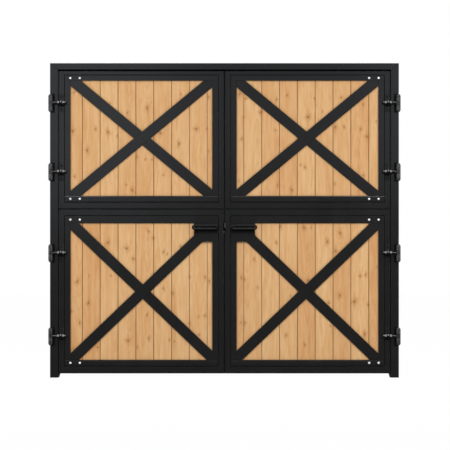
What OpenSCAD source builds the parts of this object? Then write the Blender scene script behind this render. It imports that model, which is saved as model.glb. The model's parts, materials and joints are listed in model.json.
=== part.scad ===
// Double Dutch stable door in its own three-sided frame: two lower and two upper leaves,
// each a mitred tube frame filled with boards under an X of flat bars, hung on pin hinges.
// The front faces -Y, +Z is up, and the origin is on the floor under the middle of the door.
// Leaves and their fittings are drawn for the left side and mirrored for the right.

/* [Doorway frame] */
// Overall width across both jambs
frame_w = 2580; // [2300:10:2900]
// Overall height from the floor to the top of the head
frame_h = 2326; // [2200:1:2500]
// Depth of the jambs and head, front to back
frame_depth = 90; // [84:1:130]
// Width of a jamb seen from the front
jamb_face = 60; // [52:1:80]
// Height of the head seen from the front
head_face = 48; // [40:1:70]
// Wall of the rolled frame section
frame_wall = 3; // [2:0.5:4]
// Reach of the door stop past the jamb and head faces, behind the leaves
stop_reach = 13; // [12:1:20]
// Space between the back of a leaf and the stop
stop_gap = 4; // [2:0.5:6]
// Radius on the outer edges of the frame section
frame_edge_r = 3; // [1:0.5:4]
// Height of the slanted cut at the foot of the stop
foot_cut = 26; // [10:1:30]
// Width of the slanted cut at the foot of the stop
foot_cut_w = 8; // [4:1:12]

/* [Wall anchor holes] */
// Radius of an anchor hole through a jamb
anchor_r = 6.5; // [4:0.5:8]
// Height of the lowest hole of the lower pair
anchor_low = 150; // [120:1:200]
// Distance of the highest hole of the upper pair below the top of the head
anchor_top = 126; // [100:1:160]
// Distance between the two holes of a pair
anchor_spacing = 560; // [400:1:600]
// Distance of the holes behind the front face
anchor_inset = 27; // [20:1:35]

/* [Leaves] */
// Gap between a jamb and a leaf
hinge_gap = 6; // [4:0.5:9]
// Gap between the left and right leaves
meeting_gap = 8; // [6:0.5:12]
// Gap under the lower leaves
sill_gap = 31; // [15:1:60]
// Height of a lower leaf
lower_h = 1213; // [1100:1:1300]
// Gap between a lower and an upper leaf
mid_gap = 7; // [5:0.5:12]
// Gap between an upper leaf and the head
head_gap = 10; // [5:0.5:15]
// Face width of the stile tubes
stile_face = 41; // [38:1:56]
// Face height of the lower leaf's bottom rail
lower_bottom_rail = 52; // [40:1:70]
// Face height of the lower leaf's top rail
lower_top_rail = 46; // [40:1:60]
// Face height of the upper leaf's bottom rail
upper_bottom_rail = 45; // [38:1:60]
// Face height of the upper leaf's top rail
upper_top_rail = 30; // [26:1:60]
// Wall of the leaf tubes
leaf_wall = 3; // [2:0.5:3.5]
// Radius on the outer edges of the leaf tubes
leaf_edge_r = 4; // [1:0.5:5]
// Open joint left at each mitre
mitre_gap = 0.8; // [0.3:0.1:0.9]

/* [Strips, boards and braces] */
// Open groove between a leaf tube and the front strips
strip_groove = 1.5; // [1:0.5:6]
// Gap between a bottom strip and the tube below it
bottom_groove = 5; // [1:0.5:8]
// Width of the sloping top edge of a lower leaf's bottom strip
lower_bevel = 11; // [2:1:12]
// Width of the sloping top edge of an upper leaf's bottom strip
upper_bevel = 6; // [2:1:12]
// Slope of those edges back from the upright face
bevel_turn = 23; // [15:1:24]
// Width of the upright strips
side_strip = 43.5; // [30:0.5:60]
// Height of the lower leaf's bottom strip
lower_bottom_strip = 43.5; // [36:0.5:60]
// Height of the lower leaf's top strip
lower_top_strip = 55.5; // [40:0.5:64]
// Height of the upper leaf's bottom strip
upper_bottom_strip = 42.5; // [36:0.5:60]
// Height of the upper leaf's top strip
upper_top_strip = 41; // [32:0.5:60]
// Thickness of the front strips and braces
strip_t = 8; // [6:0.5:10]
// How far the front strips stand proud of the leaf tubes
strip_proud = 2; // [1:0.5:4]
// Thickness of the back strips
back_strip_t = 6; // [4:0.5:10]
// Radius on the long front edges of the strips and braces
strip_edge_r = 1.5; // [0.5:0.25:2]
// Joint between strips and between braces
strip_joint = 0.5; // [0.3:0.1:0.9]
// Width of an X-brace bar
brace_w = 78; // [50:1:100]
// Shift of the crossing of a lower leaf's braces towards its meeting edge
lower_cross_shift = 10; // [-20:1:20]
// Shift of the crossing of an upper leaf's braces towards its meeting edge
upper_cross_shift = 6; // [-20:1:20]
// Turn of a lower leaf's braces away from the diagonals of its field
lower_cross_lean = -0.2; // [-1:0.1:1]
// Turn of an upper leaf's braces away from the diagonals of its field
upper_cross_lean = 0.5; // [-1:0.1:1]
// Thickness of the boards
board_t = 38; // [34:1:50]
// Face width covered by one board
board_pitch = 132; // [100:1:160]
// Width of the board next to the hinge stile, left leaves
left_first_board = 132; // [126:1:160]
// Width of the board next to the hinge stile, right leaves
right_first_board = 116; // [114:1:160]
// Chamfer that makes the V between two boards
board_chamfer = 4; // [2:0.5:6]
// Thickness of a board's tongue
tongue_t = 9; // [6:0.5:12]
// Length of a board's tongue
tongue_l = 9; // [6:0.5:12]
// Clearance between boards and round their ends
board_gap = 0.5; // [0.3:0.1:0.9]

/* [Strip bolts and screws] */
// Radius of a strip bolt's domed head
bolt_head_r = 9.5; // [8:0.5:13]
// Height of the domed head
bolt_head_h = 6; // [3:0.5:8]
// Radius of a strip bolt's shank
bolt_r = 5; // [3:0.5:6]
// Distance of the first strip bolt from the hinge edge of the leaf
bolt_first = 84; // [75:1:90]
// Distance between the two strip bolts of a rail
bolt_spacing = 70; // [50:1:76]
// Radial clearance of bolts and screws in their holes
bolt_fit = 0.1; // [0.05:0.05:0.3]
// Radius of the screw head where the braces cross
cross_head_r = 8; // [5:0.5:12]
// Height of the screw head where the braces cross
cross_head_h = 3; // [2:0.25:5]
// Shank radius of the screw where the braces cross
cross_screw_r = 4; // [3:0.5:4.5]
// Length of the screw where the braces cross
cross_screw_l = 24; // [16:1:30]
// Width across the flats of a strip bolt's nut
strip_nut_af = 17; // [14:0.5:20]
// Thickness of a strip bolt's nut
strip_nut_h = 8; // [5:0.5:10]
// Reach of a strip bolt past its nut
strip_bolt_tail = 2; // [1:0.5:6]

/* [Hinges] */
// Distance of the hinge axis inside the outer edge of the frame
axis_inset = 5; // [0:1:10]
// Distance of the hinge axis in front of the leaf
axis_stand = 24; // [23.5:0.5:30]
// Radius of the hinge knuckles and eye
knuckle_r = 17; // [14:0.5:18]
// Radius of the hinge pin
pin_r = 8; // [5:0.5:9]
// Radial running clearance of the eye on the pin
pin_fit = 0.06; // [0.03:0.01:0.1]
// Height of the eye on the leaf's arm
eye_h = 29; // [22:1:40]
// Running gap between the eye and a knuckle
eye_gap = 0.5; // [0.3:0.1:0.9]
// Height of the barrel without its end caps
barrel_h = 112; // [110:1:150]
// Height of the domed cap on each end of the pin
pin_cap_h = 12; // [6:0.5:16]
// Width of the bracket plate on the jamb
bracket_w = 36; // [32:1:44]
// Reach of the bracket plate past each end of the barrel
bracket_lap = 14; // [9:0.5:20]
// Thickness of the bracket and saddle plates
hinge_plate_t = 6; // [4:0.5:6.5]
// Radius of the arm
arm_r = 9; // [6:0.5:10]
// Radial clearance of the arm in its saddle and nuts
arm_fit = 0.1; // [0.05:0.01:0.1]
// Width across the flats of a nut on the arm
nut_af = 30; // [26:1:38]
// Thickness of a nut
nut_t = 15; // [8:0.5:15]
// Radius of the round lug that holds the arm
lug_r = 17.5; // [15:0.5:23]
// Height of the web that carries the lug on its plate
lug_web_h = 24; // [20:1:28]
// Length of the lug along the arm
lug_t = 22; // [14:1:24]
// Distance of the lug from the hinge edge of the leaf
lug_inset = 2; // [1:0.5:4]
// Turn of the nuts on the arm, 30 puts a flat on top
nut_turn = 30; // [0:5:60]
// Length of the domed end of the outer nut
nut_dome = 20; // [10:1:22]
// Height of the saddle plate on the leaf
saddle_h = 128; // [116:1:150]
// Width of the saddle plate on the leaf
saddle_w = 38; // [30:1:38]
// Corner radius of the bracket and saddle plates
hinge_plate_r = 8; // [4:0.5:12]
// Head radius of a screw in a jamb bracket
bracket_head_r = 5; // [4:0.5:6]
// Head height of a screw in a jamb bracket
bracket_head_h = 3; // [2:0.25:4]
// Shank radius of a screw in a jamb bracket
bracket_screw_r = 3; // [2:0.25:3.5]
// Head radius of a screw in a saddle
saddle_head_r = 9; // [6:0.5:11]
// Head height of a screw in a saddle
saddle_head_h = 4.5; // [3:0.25:6]
// Shank radius of a screw in a saddle
saddle_screw_r = 4; // [3:0.25:5]
// Reach of the hinge screws past the tube wall that they enter
screw_bite = 4; // [2:0.5:8]
// Width of a screw's hexagon socket, as a share of its head's width
socket_share = 0.42; // [0.3:0.02:0.5]
// Distance of the upper leaf's top hinge below its top edge, as a share of the leaf's height
upper_top_hinge = 0.234; // [0.18:0.001:0.3]
// Distance of the upper leaf's bottom hinge above its bottom edge, as a share of its height
upper_bottom_hinge = 0.2645; // [0.2:0.0005:0.32]
// Distance of the lower leaf's top hinge below its top edge, as a share of the leaf's height
lower_top_hinge = 0.2671; // [0.2:0.0001:0.32]
// Distance of the lower leaf's bottom hinge above its bottom edge, as a share of its height
lower_bottom_hinge = 0.2259; // [0.18:0.0001:0.3]

/* [Lock plates and pulls] */
// Width of a lock plate
plate_w = 177; // [176:1:200]
// Height of a lock plate
plate_h = 181; // [170:1:220]
// Thickness of a lock plate
plate_t = 4; // [2:0.5:6]
// Corner radius of a lock plate
plate_r = 12; // [4:1:24]
// Distance of a lock plate from the meeting edge of its leaf
plate_inset = 43; // [42:1:48]
// Distance of a lock plate below the top of its leaf
plate_drop = 53; // [50:1:58]
// Length of a loop pull
loop_len = 194; // [180:1:210]
// Height of a loop pull
loop_h = 38; // [34:1:50]
// Radius of the bar that the loop is bent from
loop_bar_r = 7; // [5:0.5:8]
// Distance of a loop pull from the meeting edge of its leaf
loop_inset = 44; // [42:1:54]
// Distance of the loop's middle below the top of its leaf
loop_drop = 132; // [128:1:136]
// Distance from the lock plate to the middle of the loop's bar
loop_stand = 37; // [34:1:60]
// Distance between the two posts of a pull
post_spacing = 114; // [100:1:120]
// Radius of a post
post_r = 6; // [4:0.5:7]
// Travel of a pull and its bolt
latch_throw = 18; // [12:1:22]

/* [Latch bolts] */
// Thickness of a latch bolt
slide_t = 10; // [6:0.5:14]
// Clearance round a latch bolt
slide_gap = 0.6; // [0.4:0.1:0.9]
// Height of the left bolt's nose
left_nose_h = 14; // [10:1:20]
// Distance of the left nose's middle below the top of its leaf
left_nose_drop = 166; // [164:1:172]
// Height of the right bolt's nose
right_nose_h = 36; // [20:1:38]
// Distance of the right nose's middle below the top of its leaf
right_nose_drop = 118; // [116:1:122]
// Reach of a withdrawn nose past the middle of the door
nose_reach = 1; // [0:0.25:1]
// Width of the notch in each stile that shows the noses
notch_w = 5; // [4:0.5:8]

/* [Tie bolts] */
// Radius of a tie rod
tie_r = 7; // [5:0.5:7.5]
// Radial running clearance of a tie rod in its guide
tie_fit = 0.08; // [0.04:0.01:0.1]
// Clearance of a tie rod on each side of its square keeper
keeper_fit = 0.7; // [0.4:0.1:1]
// Distance of a tie rod's axis behind the leaf
tie_stand = 16; // [14:0.5:18]
// Width of the guide and the keeper
tie_block_w = 30; // [24:1:36]
// Height of each guide block and of the keeper
tie_block_h = 28; // [20:1:34]
// Thickness of the guide's base plate
tie_plate_t = 4; // [3:0.5:6]
// Free space between the two guide blocks
tie_window = 84; // [70:1:100]
// Travel of a tie rod
tie_throw = 44; // [40:1:46]
// Distance of the guide above the bottom of the upper leaf
guide_lift = 10; // [6:1:12]
// Distance of the keeper below the top of the lower leaf
keeper_drop = 8; // [6:1:10]
// Reach of a tie rod past the upper guide block
tie_tail = 12; // [6:1:30]
// Radius of a tie rod's knob
knob_r = 6; // [4:0.5:7]
// Reach of the knob behind the rod
knob_l = 20; // [14:1:22]
// Wall of the blocks round a tie rod
tie_block_wall = 5; // [3:0.5:6]
// Radius on the keeper's edges
keeper_edge_r = 3; // [1:0.5:5]
// Space left above a withdrawn knob
knob_room = 8; // [4:0.5:10]

/* [Hidden] */
$fn = 48;
LOWER = 0;
UPPER = 1;
LEFT = 0;
RIGHT = 1;

// Leaf sizes, each as [lower, upper]
strip_back = strip_t - strip_proud;
leaf_depth = strip_back + board_t + back_strip_t;
leaf_x = -frame_w / 2 + jamb_face + hinge_gap;
leaf_w = -leaf_x - meeting_gap / 2;
leaf_z = [sill_gap, sill_gap + lower_h + mid_gap];
leaf_h = [lower_h, frame_h - head_face - head_gap - leaf_z[UPPER]];
bottom_rail = [lower_bottom_rail, upper_bottom_rail];
top_rail = [lower_top_rail, upper_top_rail];
bottom_strip = [lower_bottom_strip, upper_bottom_strip];
bevel_w = [lower_bevel, upper_bevel];
top_strip = [lower_top_strip, upper_top_strip];
cross_shift = [lower_cross_shift, upper_cross_shift];
cross_lean = [lower_cross_lean, upper_cross_lean];
first_board = [left_first_board, right_first_board];
// Front edge of the stop and the inner corner of the frame section
stop_y = leaf_depth + stop_gap;
// Hinge places
axis_x = -frame_w / 2 + axis_inset;
hinge_z = [
    lower_h * [lower_bottom_hinge, 1 - lower_top_hinge],
    leaf_h[UPPER] * [upper_bottom_hinge, 1 - upper_top_hinge]
];
bracket_h = barrel_h + 2 * bracket_lap;
lug_x = leaf_x + lug_inset;
nut_seat = 0.2;
bracket_screw_inset = 6;
bracket_screw_edge = 14;
saddle_screw_edge = 17;
cap_lip = 2;
dome_lip = 3;
lug_crown = 4;
// Lock and latch places, seen from the left side
meeting_x = -meeting_gap / 2;
lower_top = leaf_z[LOWER] + lower_h;
plate_y = -strip_proud - plate_t;
loop_y = plate_y - loop_stand;
loop_z = lower_top - loop_drop;
loop_x = meeting_x - loop_inset - loop_len / 2;
post_fit = 0.3;
slide_y = leaf_wall + slide_gap;
slide_margin = 6;
slide_end = post_r + slide_margin;
slide_x = [loop_x - post_spacing / 2 - slide_end, loop_x + post_spacing / 2 + slide_end];
nose_h = [left_nose_h, right_nose_h];
nose_z = [lower_top - left_nose_drop, lower_top - right_nose_drop];
slide_low = [for (s = [LEFT, RIGHT]) min(nose_z[s] - nose_h[s] / 2, loop_z - slide_end)];
slide_high = [for (s = [LEFT, RIGHT]) max(nose_z[s] + nose_h[s] / 2, loop_z + slide_end)];
notch_low = min(slide_low) - slide_gap;
notch_high = max(slide_high) + slide_gap;
// Tie bolt places, seen from the left side
tie_x = meeting_x - stile_face / 2;
tie_y = leaf_depth + tie_stand;
tie_block_r = tie_r + tie_block_wall;
tie_block_y = tie_y + tie_block_r;
guide_z = leaf_z[UPPER] + guide_lift;
guide_h = 2 * tie_block_h + tie_window;
rod_low = guide_z;
keeper_z = lower_top - keeper_drop - tie_block_h;
knob_lift = tie_block_h + tie_window - knob_r - knob_room;
// Depth of the whole door, which the origin halves
front_y = min(loop_y - loop_bar_r, -axis_stand - lug_r, -axis_stand - nut_af / sqrt(3));
back_y = max(frame_depth, tie_y + knob_l, tie_block_y);
mid_y = (front_y + back_y) / 2;
// Reach of a cut past the face that it opens
over = 1;
// Narrowest last board, as a share of a whole one
least_board = 0.25;
// Which way a leaf's long brace rises from its hinge edge, as [left, right]
long_rise = [1, -1];

// Moves the door so that its depth is centred, and mirrors what stands on the right
module on_side(side) {
    translate([0, -mid_y, 0]) mirror([side, 0, 0]) children();
}

// Lays an extrusion along +X, with its first profile axis up and its second to the back
module along_x() {
    rotate([0, 90, 0]) mirror([1, 0, 0]) children();
}

// Turns a shape made up along Z so that its top faces the front
module face_front() {
    rotate([90, 0, 0]) children();
}

// An outline in the plane of the door, carried through from y0 back to y1
module door_prism(y0, y1) {
    translate([0, y1, 0]) rotate([90, 0, 0]) linear_extrude(y1 - y0) children();
}

// What a rounded corner takes away, at a corner that opens to the upper right before its turn
module corner_cut(x, y, turn, r) {
    translate([x, y]) rotate(turn) difference() {
        translate([-over, -over]) square(r + over);
        translate([r, r]) circle(r);
    }
}

// Rectangle with arcs on all four corners
module rounded_rect(w, h, r) {
    difference() {
        square([w, h]);
        corner_cut(0, 0, 0, r);
        corner_cut(w, 0, 90, r);
        corner_cut(w, h, 180, r);
        corner_cut(0, h, 270, r);
    }
}

// Square tube seen end on
module tube_section(face, depth, wall, r) {
    difference() {
        rounded_rect(face, depth, r);
        translate([wall, wall]) square([face - 2 * wall, depth - 2 * wall]);
    }
}

// Flat bar seen end on, with its two front edges rounded
module bar_section(w, t) {
    difference() {
        square([w, t]);
        corner_cut(0, 0, 0, strip_edge_r);
        corner_cut(w, 0, 90, strip_edge_r);
    }
}

// Bottom strip seen end on, its upper front edge sloped to shed water where a slope is given
module sill_section(w, t, slope_w) {
    difference() {
        bar_section(w, t);
        if (slope_w > 0) polygon([
            [w - slope_w, 0], [w + over, (slope_w + over) * tan(bevel_turn)],
            [w + over, -over], [w - slope_w, -over]
        ]);
    }
}

// Rebated frame section seen end on: a hollow face with a hollow stop behind the leaf
module frame_section(face) {
    difference() {
        polygon([
            [0, 0], [face, 0], [face, stop_y], [face + stop_reach, stop_y],
            [face + stop_reach, frame_depth], [0, frame_depth]
        ]);
        corner_cut(0, 0, 0, frame_edge_r);
        corner_cut(face, 0, 90, frame_edge_r);
        corner_cut(face + stop_reach, stop_y, 90, frame_edge_r);
        polygon([
            [frame_wall, frame_wall], [face - frame_wall, frame_wall],
            [face - frame_wall, stop_y + frame_wall],
            [face + stop_reach - frame_wall, stop_y + frame_wall],
            [face + stop_reach - frame_wall, frame_depth - frame_wall],
            [frame_wall, frame_depth - frame_wall]
        ]);
    }
}

// Domed head with a shank, head up, seated at z = 0
module domed_screw(head_r, head_h, shank_r, shank_l) {
    ball_r = (head_r * head_r + head_h * head_h) / (2 * head_h);
    rotate_extrude() union() {
        intersection() {
            translate([0, head_h - ball_r]) circle(ball_r);
            square([head_r, head_h]);
        }
        translate([0, -shank_l]) square([shank_r, shank_l + head_h / 2]);
    }
}

// Hexagon socket in a screw head, as deep as half the head
module socket_cut(head_r, head_h) {
    translate([0, 0, head_h / 2]) cylinder(r = 2 * head_r * socket_share / sqrt(3), h = head_h, $fn = 6);
}

// Hexagon with its corners turned down at both ends, standing on z = 0
module hex_nut(af, t) {
    chamfer_h = t / 6;
    corner_r = af / sqrt(3);
    intersection() {
        cylinder(r = corner_r, h = t, $fn = 6);
        rotate_extrude() polygon([
            [0, 0], [af / 2, 0], [corner_r, chamfer_h],
            [corner_r, t - chamfer_h], [af / 2, t], [0, t]
        ]);
    }
}

// Points of the mitre from the outer to the inner corner of the frame, left side
function frame_mitre(drop) = [
    [-frame_w / 2, frame_h - drop],
    [-frame_w / 2 + jamb_face, frame_h - head_face - drop],
    [-frame_w / 2 + jamb_face + stop_reach, frame_h - head_face - stop_reach - drop]
];

module anchor_holes() {
    for (low = [anchor_low, frame_h - anchor_top - anchor_spacing], i = [0, 1])
        translate([-frame_w / 2 - over, anchor_inset, low + i * anchor_spacing])
            rotate([0, 90, 0]) cylinder(r = anchor_r, h = jamb_face + 2 * over);
}

module bracket_screw_places() {
    for (level = [LOWER, UPPER], z = hinge_z[level], end = [-1, 1])
        translate([
            -frame_w / 2 + bracket_w - bracket_screw_inset,
            -hinge_plate_t,
            leaf_z[level] + z + end * (bracket_h / 2 - bracket_screw_edge)
        ]) face_front() children();
}

module jamb(side) {
    inner_x = -frame_w / 2 + jamb_face + stop_reach;
    color("#262626") on_side(side) difference() {
        intersection() {
            translate([-frame_w / 2, 0, 0]) linear_extrude(frame_h) frame_section(jamb_face);
            door_prism(-over, frame_depth + over) polygon(concat(
                [[-frame_w / 2, 0]], frame_mitre(mitre_gap), [[inner_x, 0]]
            ));
        }
        anchor_holes();
        bracket_screw_places() bracket_screw(bolt_fit);
        door_prism(-over, frame_depth + over) polygon([
            [inner_x - foot_cut_w, -over], [inner_x + over, -over], [inner_x + over, foot_cut],
            [inner_x, foot_cut], [inner_x - foot_cut_w, 0]
        ]);
    }
}

module head() {
    left_mitre = frame_mitre(0);
    right_mitre = [for (i = [len(left_mitre) - 1:-1:0]) [-left_mitre[i].x, left_mitre[i].y]];
    color("#2a2a2a") on_side(LEFT) intersection() {
        translate([-frame_w / 2, 0, frame_h]) mirror([0, 0, 1]) along_x()
            linear_extrude(frame_w) frame_section(head_face);
        door_prism(-over, frame_depth + over) polygon(concat(left_mitre, right_mitre));
    }
}

// Front screw of a jamb bracket, with room round it where a hole is wanted
module bracket_screw(room) {
    domed_screw(
        bracket_head_r + room, bracket_head_h,
        bracket_screw_r + room, hinge_plate_t + frame_wall + screw_bite
    );
}

module hinge_brackets(side) {
    knuckle_h = (barrel_h - eye_h) / 2 - eye_gap;
    color("#1c1c1c") on_side(side) for (level = [LOWER, UPPER], z = hinge_z[level])
        translate([0, 0, leaf_z[level] + z]) difference() {
            union() {
                translate([-frame_w / 2, 0, -bracket_h / 2]) door_prism(-hinge_plate_t, 0)
                    rounded_rect(bracket_w, bracket_h, hinge_plate_r);
                for (end = [0, 1]) mirror([0, 0, end])
                    translate([axis_x, -axis_stand, eye_h / 2 + eye_gap]) {
                        cylinder(r = knuckle_r, h = knuckle_h);
                        knuckle_web(knuckle_h);
                    }
            }
            translate([axis_x, -axis_stand, -barrel_h]) cylinder(r = pin_r, h = 2 * barrel_h);
            for (end = [-1, 1]) translate([
                -frame_w / 2 + bracket_w - bracket_screw_inset,
                -hinge_plate_t,
                end * (bracket_h / 2 - bracket_screw_edge)
            ]) face_front() bracket_screw(bolt_fit);
        }
}

// Web that joins a knuckle to its plate
module knuckle_web(h) {
    translate([-axis_inset, 0, 0]) cube([knuckle_r, axis_stand - hinge_plate_t / 2, h]);
}

module hinge_pins(side) {
    color("#1c1c1c") on_side(side) for (level = [LOWER, UPPER], z = hinge_z[level])
        translate([axis_x, -axis_stand, leaf_z[level] + z]) hinge_pin();
}

// Headed pin with a domed cap on each end
module hinge_pin() {
    cap_r = knuckle_r - cap_lip;
    ball_r = (cap_r * cap_r + pin_cap_h * pin_cap_h) / (2 * pin_cap_h);
    rotate_extrude() union() {
        translate([0, -barrel_h / 2 - over])
            square([pin_r - pin_fit / 2, barrel_h + 2 * over]);
        for (end = [0, 1]) mirror([0, end]) translate([0, barrel_h / 2]) intersection() {
            translate([0, pin_cap_h - ball_r]) circle(ball_r);
            square([cap_r, pin_cap_h]);
        }
    }
}

module hinge_bracket_screws() {
    color("#1c1c1c") for (side = [LEFT, RIGHT])
        on_side(side) bracket_screw_places() difference() {
            bracket_screw(0);
            socket_cut(bracket_head_r, bracket_head_h);
        }
}

// Inner corners of a leaf's tube frame and of the field that the strips leave open
function tube_in(level) = [
    [stile_face, bottom_rail[level]],
    [leaf_w - stile_face, leaf_h[level] - top_rail[level]]
];
function field(level) = [
    [stile_face + strip_groove + side_strip,
        bottom_rail[level] + bottom_groove + bottom_strip[level]],
    [leaf_w - stile_face - strip_groove - side_strip,
        leaf_h[level] - top_rail[level] - strip_groove - top_strip[level]]
];

// Puts a leaf piece in place: its hinge edge is x = 0, its bottom z = 0 and its front y = 0
module on_leaf(level, side) {
    on_side(side) translate([leaf_x, 0, leaf_z[level]]) children();
}

module leaf_frame(level, side) {
    h = leaf_h[level];
    bottom = bottom_rail[level];
    top = top_rail[level];
    color("#242424") difference() {
        on_leaf(level, side) {
            for (far = [0, 1]) translate([far * leaf_w, 0, 0]) mirror([far, 0, 0])
                intersection() {
                    linear_extrude(h) tube_section(stile_face, leaf_depth, leaf_wall, leaf_edge_r);
                    door_prism(-over, leaf_depth + over) polygon([
                        [0, mitre_gap], [stile_face, bottom + mitre_gap],
                        [stile_face, h - top - mitre_gap], [0, h - mitre_gap]
                    ]);
                }
            leaf_rail(bottom);
            translate([0, 0, h]) mirror([0, 0, 1]) leaf_rail(top);
        }
        on_leaf(level, side) saddle_screw_places(level)
            saddle_screw(bolt_fit);
        if (level == LOWER) on_side(side) latch_notches(side);
    }
}

// A leaf's rail, mitred at both ends
module leaf_rail(face) {
    intersection() {
        along_x() linear_extrude(leaf_w) tube_section(face, leaf_depth, leaf_wall, leaf_edge_r);
        door_prism(-over, leaf_depth + over) polygon([
            [0, 0], [leaf_w, 0], [leaf_w - stile_face, face], [stile_face, face]
        ]);
    }
}

// Openings in a lower leaf's meeting stile: the notch at its edge and the slot for its own bolt
module latch_notches(side) {
    translate([meeting_x - notch_w, -over, notch_low])
        cube([notch_w + over, over + slide_y + slide_t + slide_gap, notch_high - notch_low]);
    translate([
        meeting_x - stile_face - over,
        slide_y - slide_gap,
        nose_z[side] - nose_h[side] / 2 - slide_gap
    ]) cube([leaf_wall + 2 * over, slide_t + 2 * slide_gap, nose_h[side] + 2 * slide_gap]);
}

// Space behind a lock plate in which the latch bolt runs, from the strips into the boards
module latch_pocket(side) {
    low = slide_low[side] - slide_gap;
    high = max(slide_high[side] + slide_gap, leaf_z[LOWER] + field(LOWER)[1].y);
    on_side(side) translate([slide_x[0] - slide_gap, -strip_proud - over, low]) cube([
        meeting_x - stile_face - slide_x[0] + slide_gap,
        over + strip_proud + slide_y + slide_t + slide_gap / 2,
        high - low
    ]);
}

// Places of the strip bolts on a leaf, on the middle of its front rails of strip
module strip_bolt_places(level) {
    low = bottom_rail[level] + bottom_groove + bottom_strip[level] / 2;
    high = leaf_h[level] - top_rail[level] - strip_groove - top_strip[level] / 2;
    for (i = [0, 1], z = [low, high])
        translate([bolt_first + i * bolt_spacing, -strip_proud, z]) face_front() children();
}

module strip_bolt_holes(level) {
    strip_bolt_places(level) translate([0, 0, -leaf_depth - strip_proud - over])
        cylinder(r = bolt_r + bolt_fit, h = leaf_depth + strip_proud + 2 * over);
}

// Four strips round a field: two rails of strip with two uprights between them
module strip_set(level, section_t, inset, low_inset, slope_w, upright_top) {
    inner = tube_in(level);
    open = field(level);
    length = inner[1].x - inner[0].x - 2 * inset;
    low_w = open[0].y - inner[0].y - low_inset;
    high_w = inner[1].y - open[1].y - inset;
    side_w = open[0].x - inner[0].x - inset;
    translate([inner[0].x + inset, 0, inner[0].y + low_inset])
        along_x() linear_extrude(length) sill_section(low_w, section_t, slope_w);
    translate([inner[0].x + inset, 0, open[1].y])
        along_x() linear_extrude(length) bar_section(high_w, section_t);
    for (far = [0, 1]) {
        top = far == 1 ? upright_top : open[1].y - strip_joint;
        x = far == 1 ? open[1].x : inner[0].x + inset;
        translate([x, 0, open[0].y + strip_joint])
            linear_extrude(top - open[0].y - strip_joint) bar_section(side_w, section_t);
    }
}

module strips(level, side) {
    open_top = field(level)[1].y - strip_joint;
    under_lock = slide_low[side] - slide_gap - strip_joint - leaf_z[LOWER];
    front_top = level == LOWER ? min(under_lock, open_top) : open_top;
    color("#222222") difference() {
        on_leaf(level, side) difference() {
            union() {
                translate([0, -strip_proud, 0])
                    strip_set(level, strip_t, strip_groove, bottom_groove, bevel_w[level], front_top);
                translate([0, leaf_depth, 0]) mirror([0, 1, 0])
                    strip_set(level, back_strip_t, 0, 0, 0, open_top);
            }
            strip_bolt_holes(level);
        }
        if (level == LOWER) latch_pocket(side);
    }
}

// One tongued and grooved board seen end on, from x0 to x1
module board_section(x0, x1, has_groove, has_tongue) {
    c = board_chamfer;
    mid = board_t / 2;
    slot = tongue_t / 2 + board_gap;
    depth = tongue_l + board_gap;
    tongue = has_tongue ? [
        [x1, mid - tongue_t / 2], [x1 + tongue_l, mid - tongue_t / 2],
        [x1 + tongue_l, mid + tongue_t / 2], [x1, mid + tongue_t / 2]
    ] : [];
    groove = has_groove ? [
        [x0, mid + slot], [x0 + depth, mid + slot],
        [x0 + depth, mid - slot], [x0, mid - slot]
    ] : [];
    polygon(concat(
        [[x0 + c, 0], [x1 - c, 0], [x1, c]], tongue, [[x1, board_t - c], [x1 - c, board_t]],
        [[x0 + c, board_t], [x0, board_t - c]], groove, [[x0, c]]
    ));
}

module boards(level, side) {
    inner = tube_in(level);
    x_first = inner[0].x + board_gap;
    x_last = inner[1].x - board_gap;
    first_joint = inner[0].x + first_board[side];
    joints = [for (x = first_joint; x < x_last - least_board * board_pitch; x = x + board_pitch) x];
    edges = concat([x_first], joints, [x_last]);
    count = len(edges) - 1;
    color("#dcb27e") difference() {
        on_leaf(level, side) difference() {
            translate([0, strip_back, inner[0].y + board_gap])
                linear_extrude(inner[1].y - inner[0].y - 2 * board_gap)
                    for (i = [0:count - 1]) board_section(
                        edges[i] + (i > 0 ? board_gap / 2 : 0),
                        edges[i + 1] - (i < count - 1 ? board_gap / 2 : 0),
                        i > 0, i < count - 1
                    );
            strip_bolt_holes(level);
            cross_place(level) cross_screw(bolt_fit);
        }
        if (level == LOWER) latch_pocket(side);
    }
}

// Point where the braces of a leaf cross
function cross_at(level) = (field(level)[0] + field(level)[1]) / 2 + [cross_shift[level], 0];

module cross_place(level) {
    middle = cross_at(level);
    translate([middle.x, -strip_proud, middle.y]) face_front() children();
}

// Screw that holds the braces where they cross, with room round it where a hole is wanted
module cross_screw(room) {
    domed_screw(cross_head_r, cross_head_h, cross_screw_r + room, cross_screw_l + room);
}

// A brace bar near one diagonal of the field, rising to the right or to the left
module brace_bar(level, rises, width, room) {
    size = field(level)[1] - field(level)[0];
    middle = cross_at(level);
    turn = (atan2(size.y, size.x) + cross_lean[level]) * rises;
    reach = norm(size) + 2 * width;
    translate([middle.x, 0, middle.y])
        rotate([0, -turn, 0]) translate([-reach / 2, -strip_proud - room, -width / 2])
            along_x() linear_extrude(reach)
                if (room > 0) square([width, strip_t + 2 * room]);
                else bar_section(width, strip_t);
}

// What the strips leave open, just clear of them
module field_prism(level) {
    open = field(level);
    size = open[1] - open[0];
    door_prism(-strip_proud - over, strip_back + over)
        translate(open[0] + [strip_joint, strip_joint])
            square([size.x - 2 * strip_joint, size.y - 2 * strip_joint]);
}

module long_brace(level, side) {
    color("#242424") difference() {
        on_leaf(level, side) difference() {
            intersection() {
                brace_bar(level, long_rise[side], brace_w, 0);
                field_prism(level);
            }
            cross_place(level) cross_screw(bolt_fit);
        }
        if (level == LOWER) latch_pocket(side);
    }
}

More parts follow.
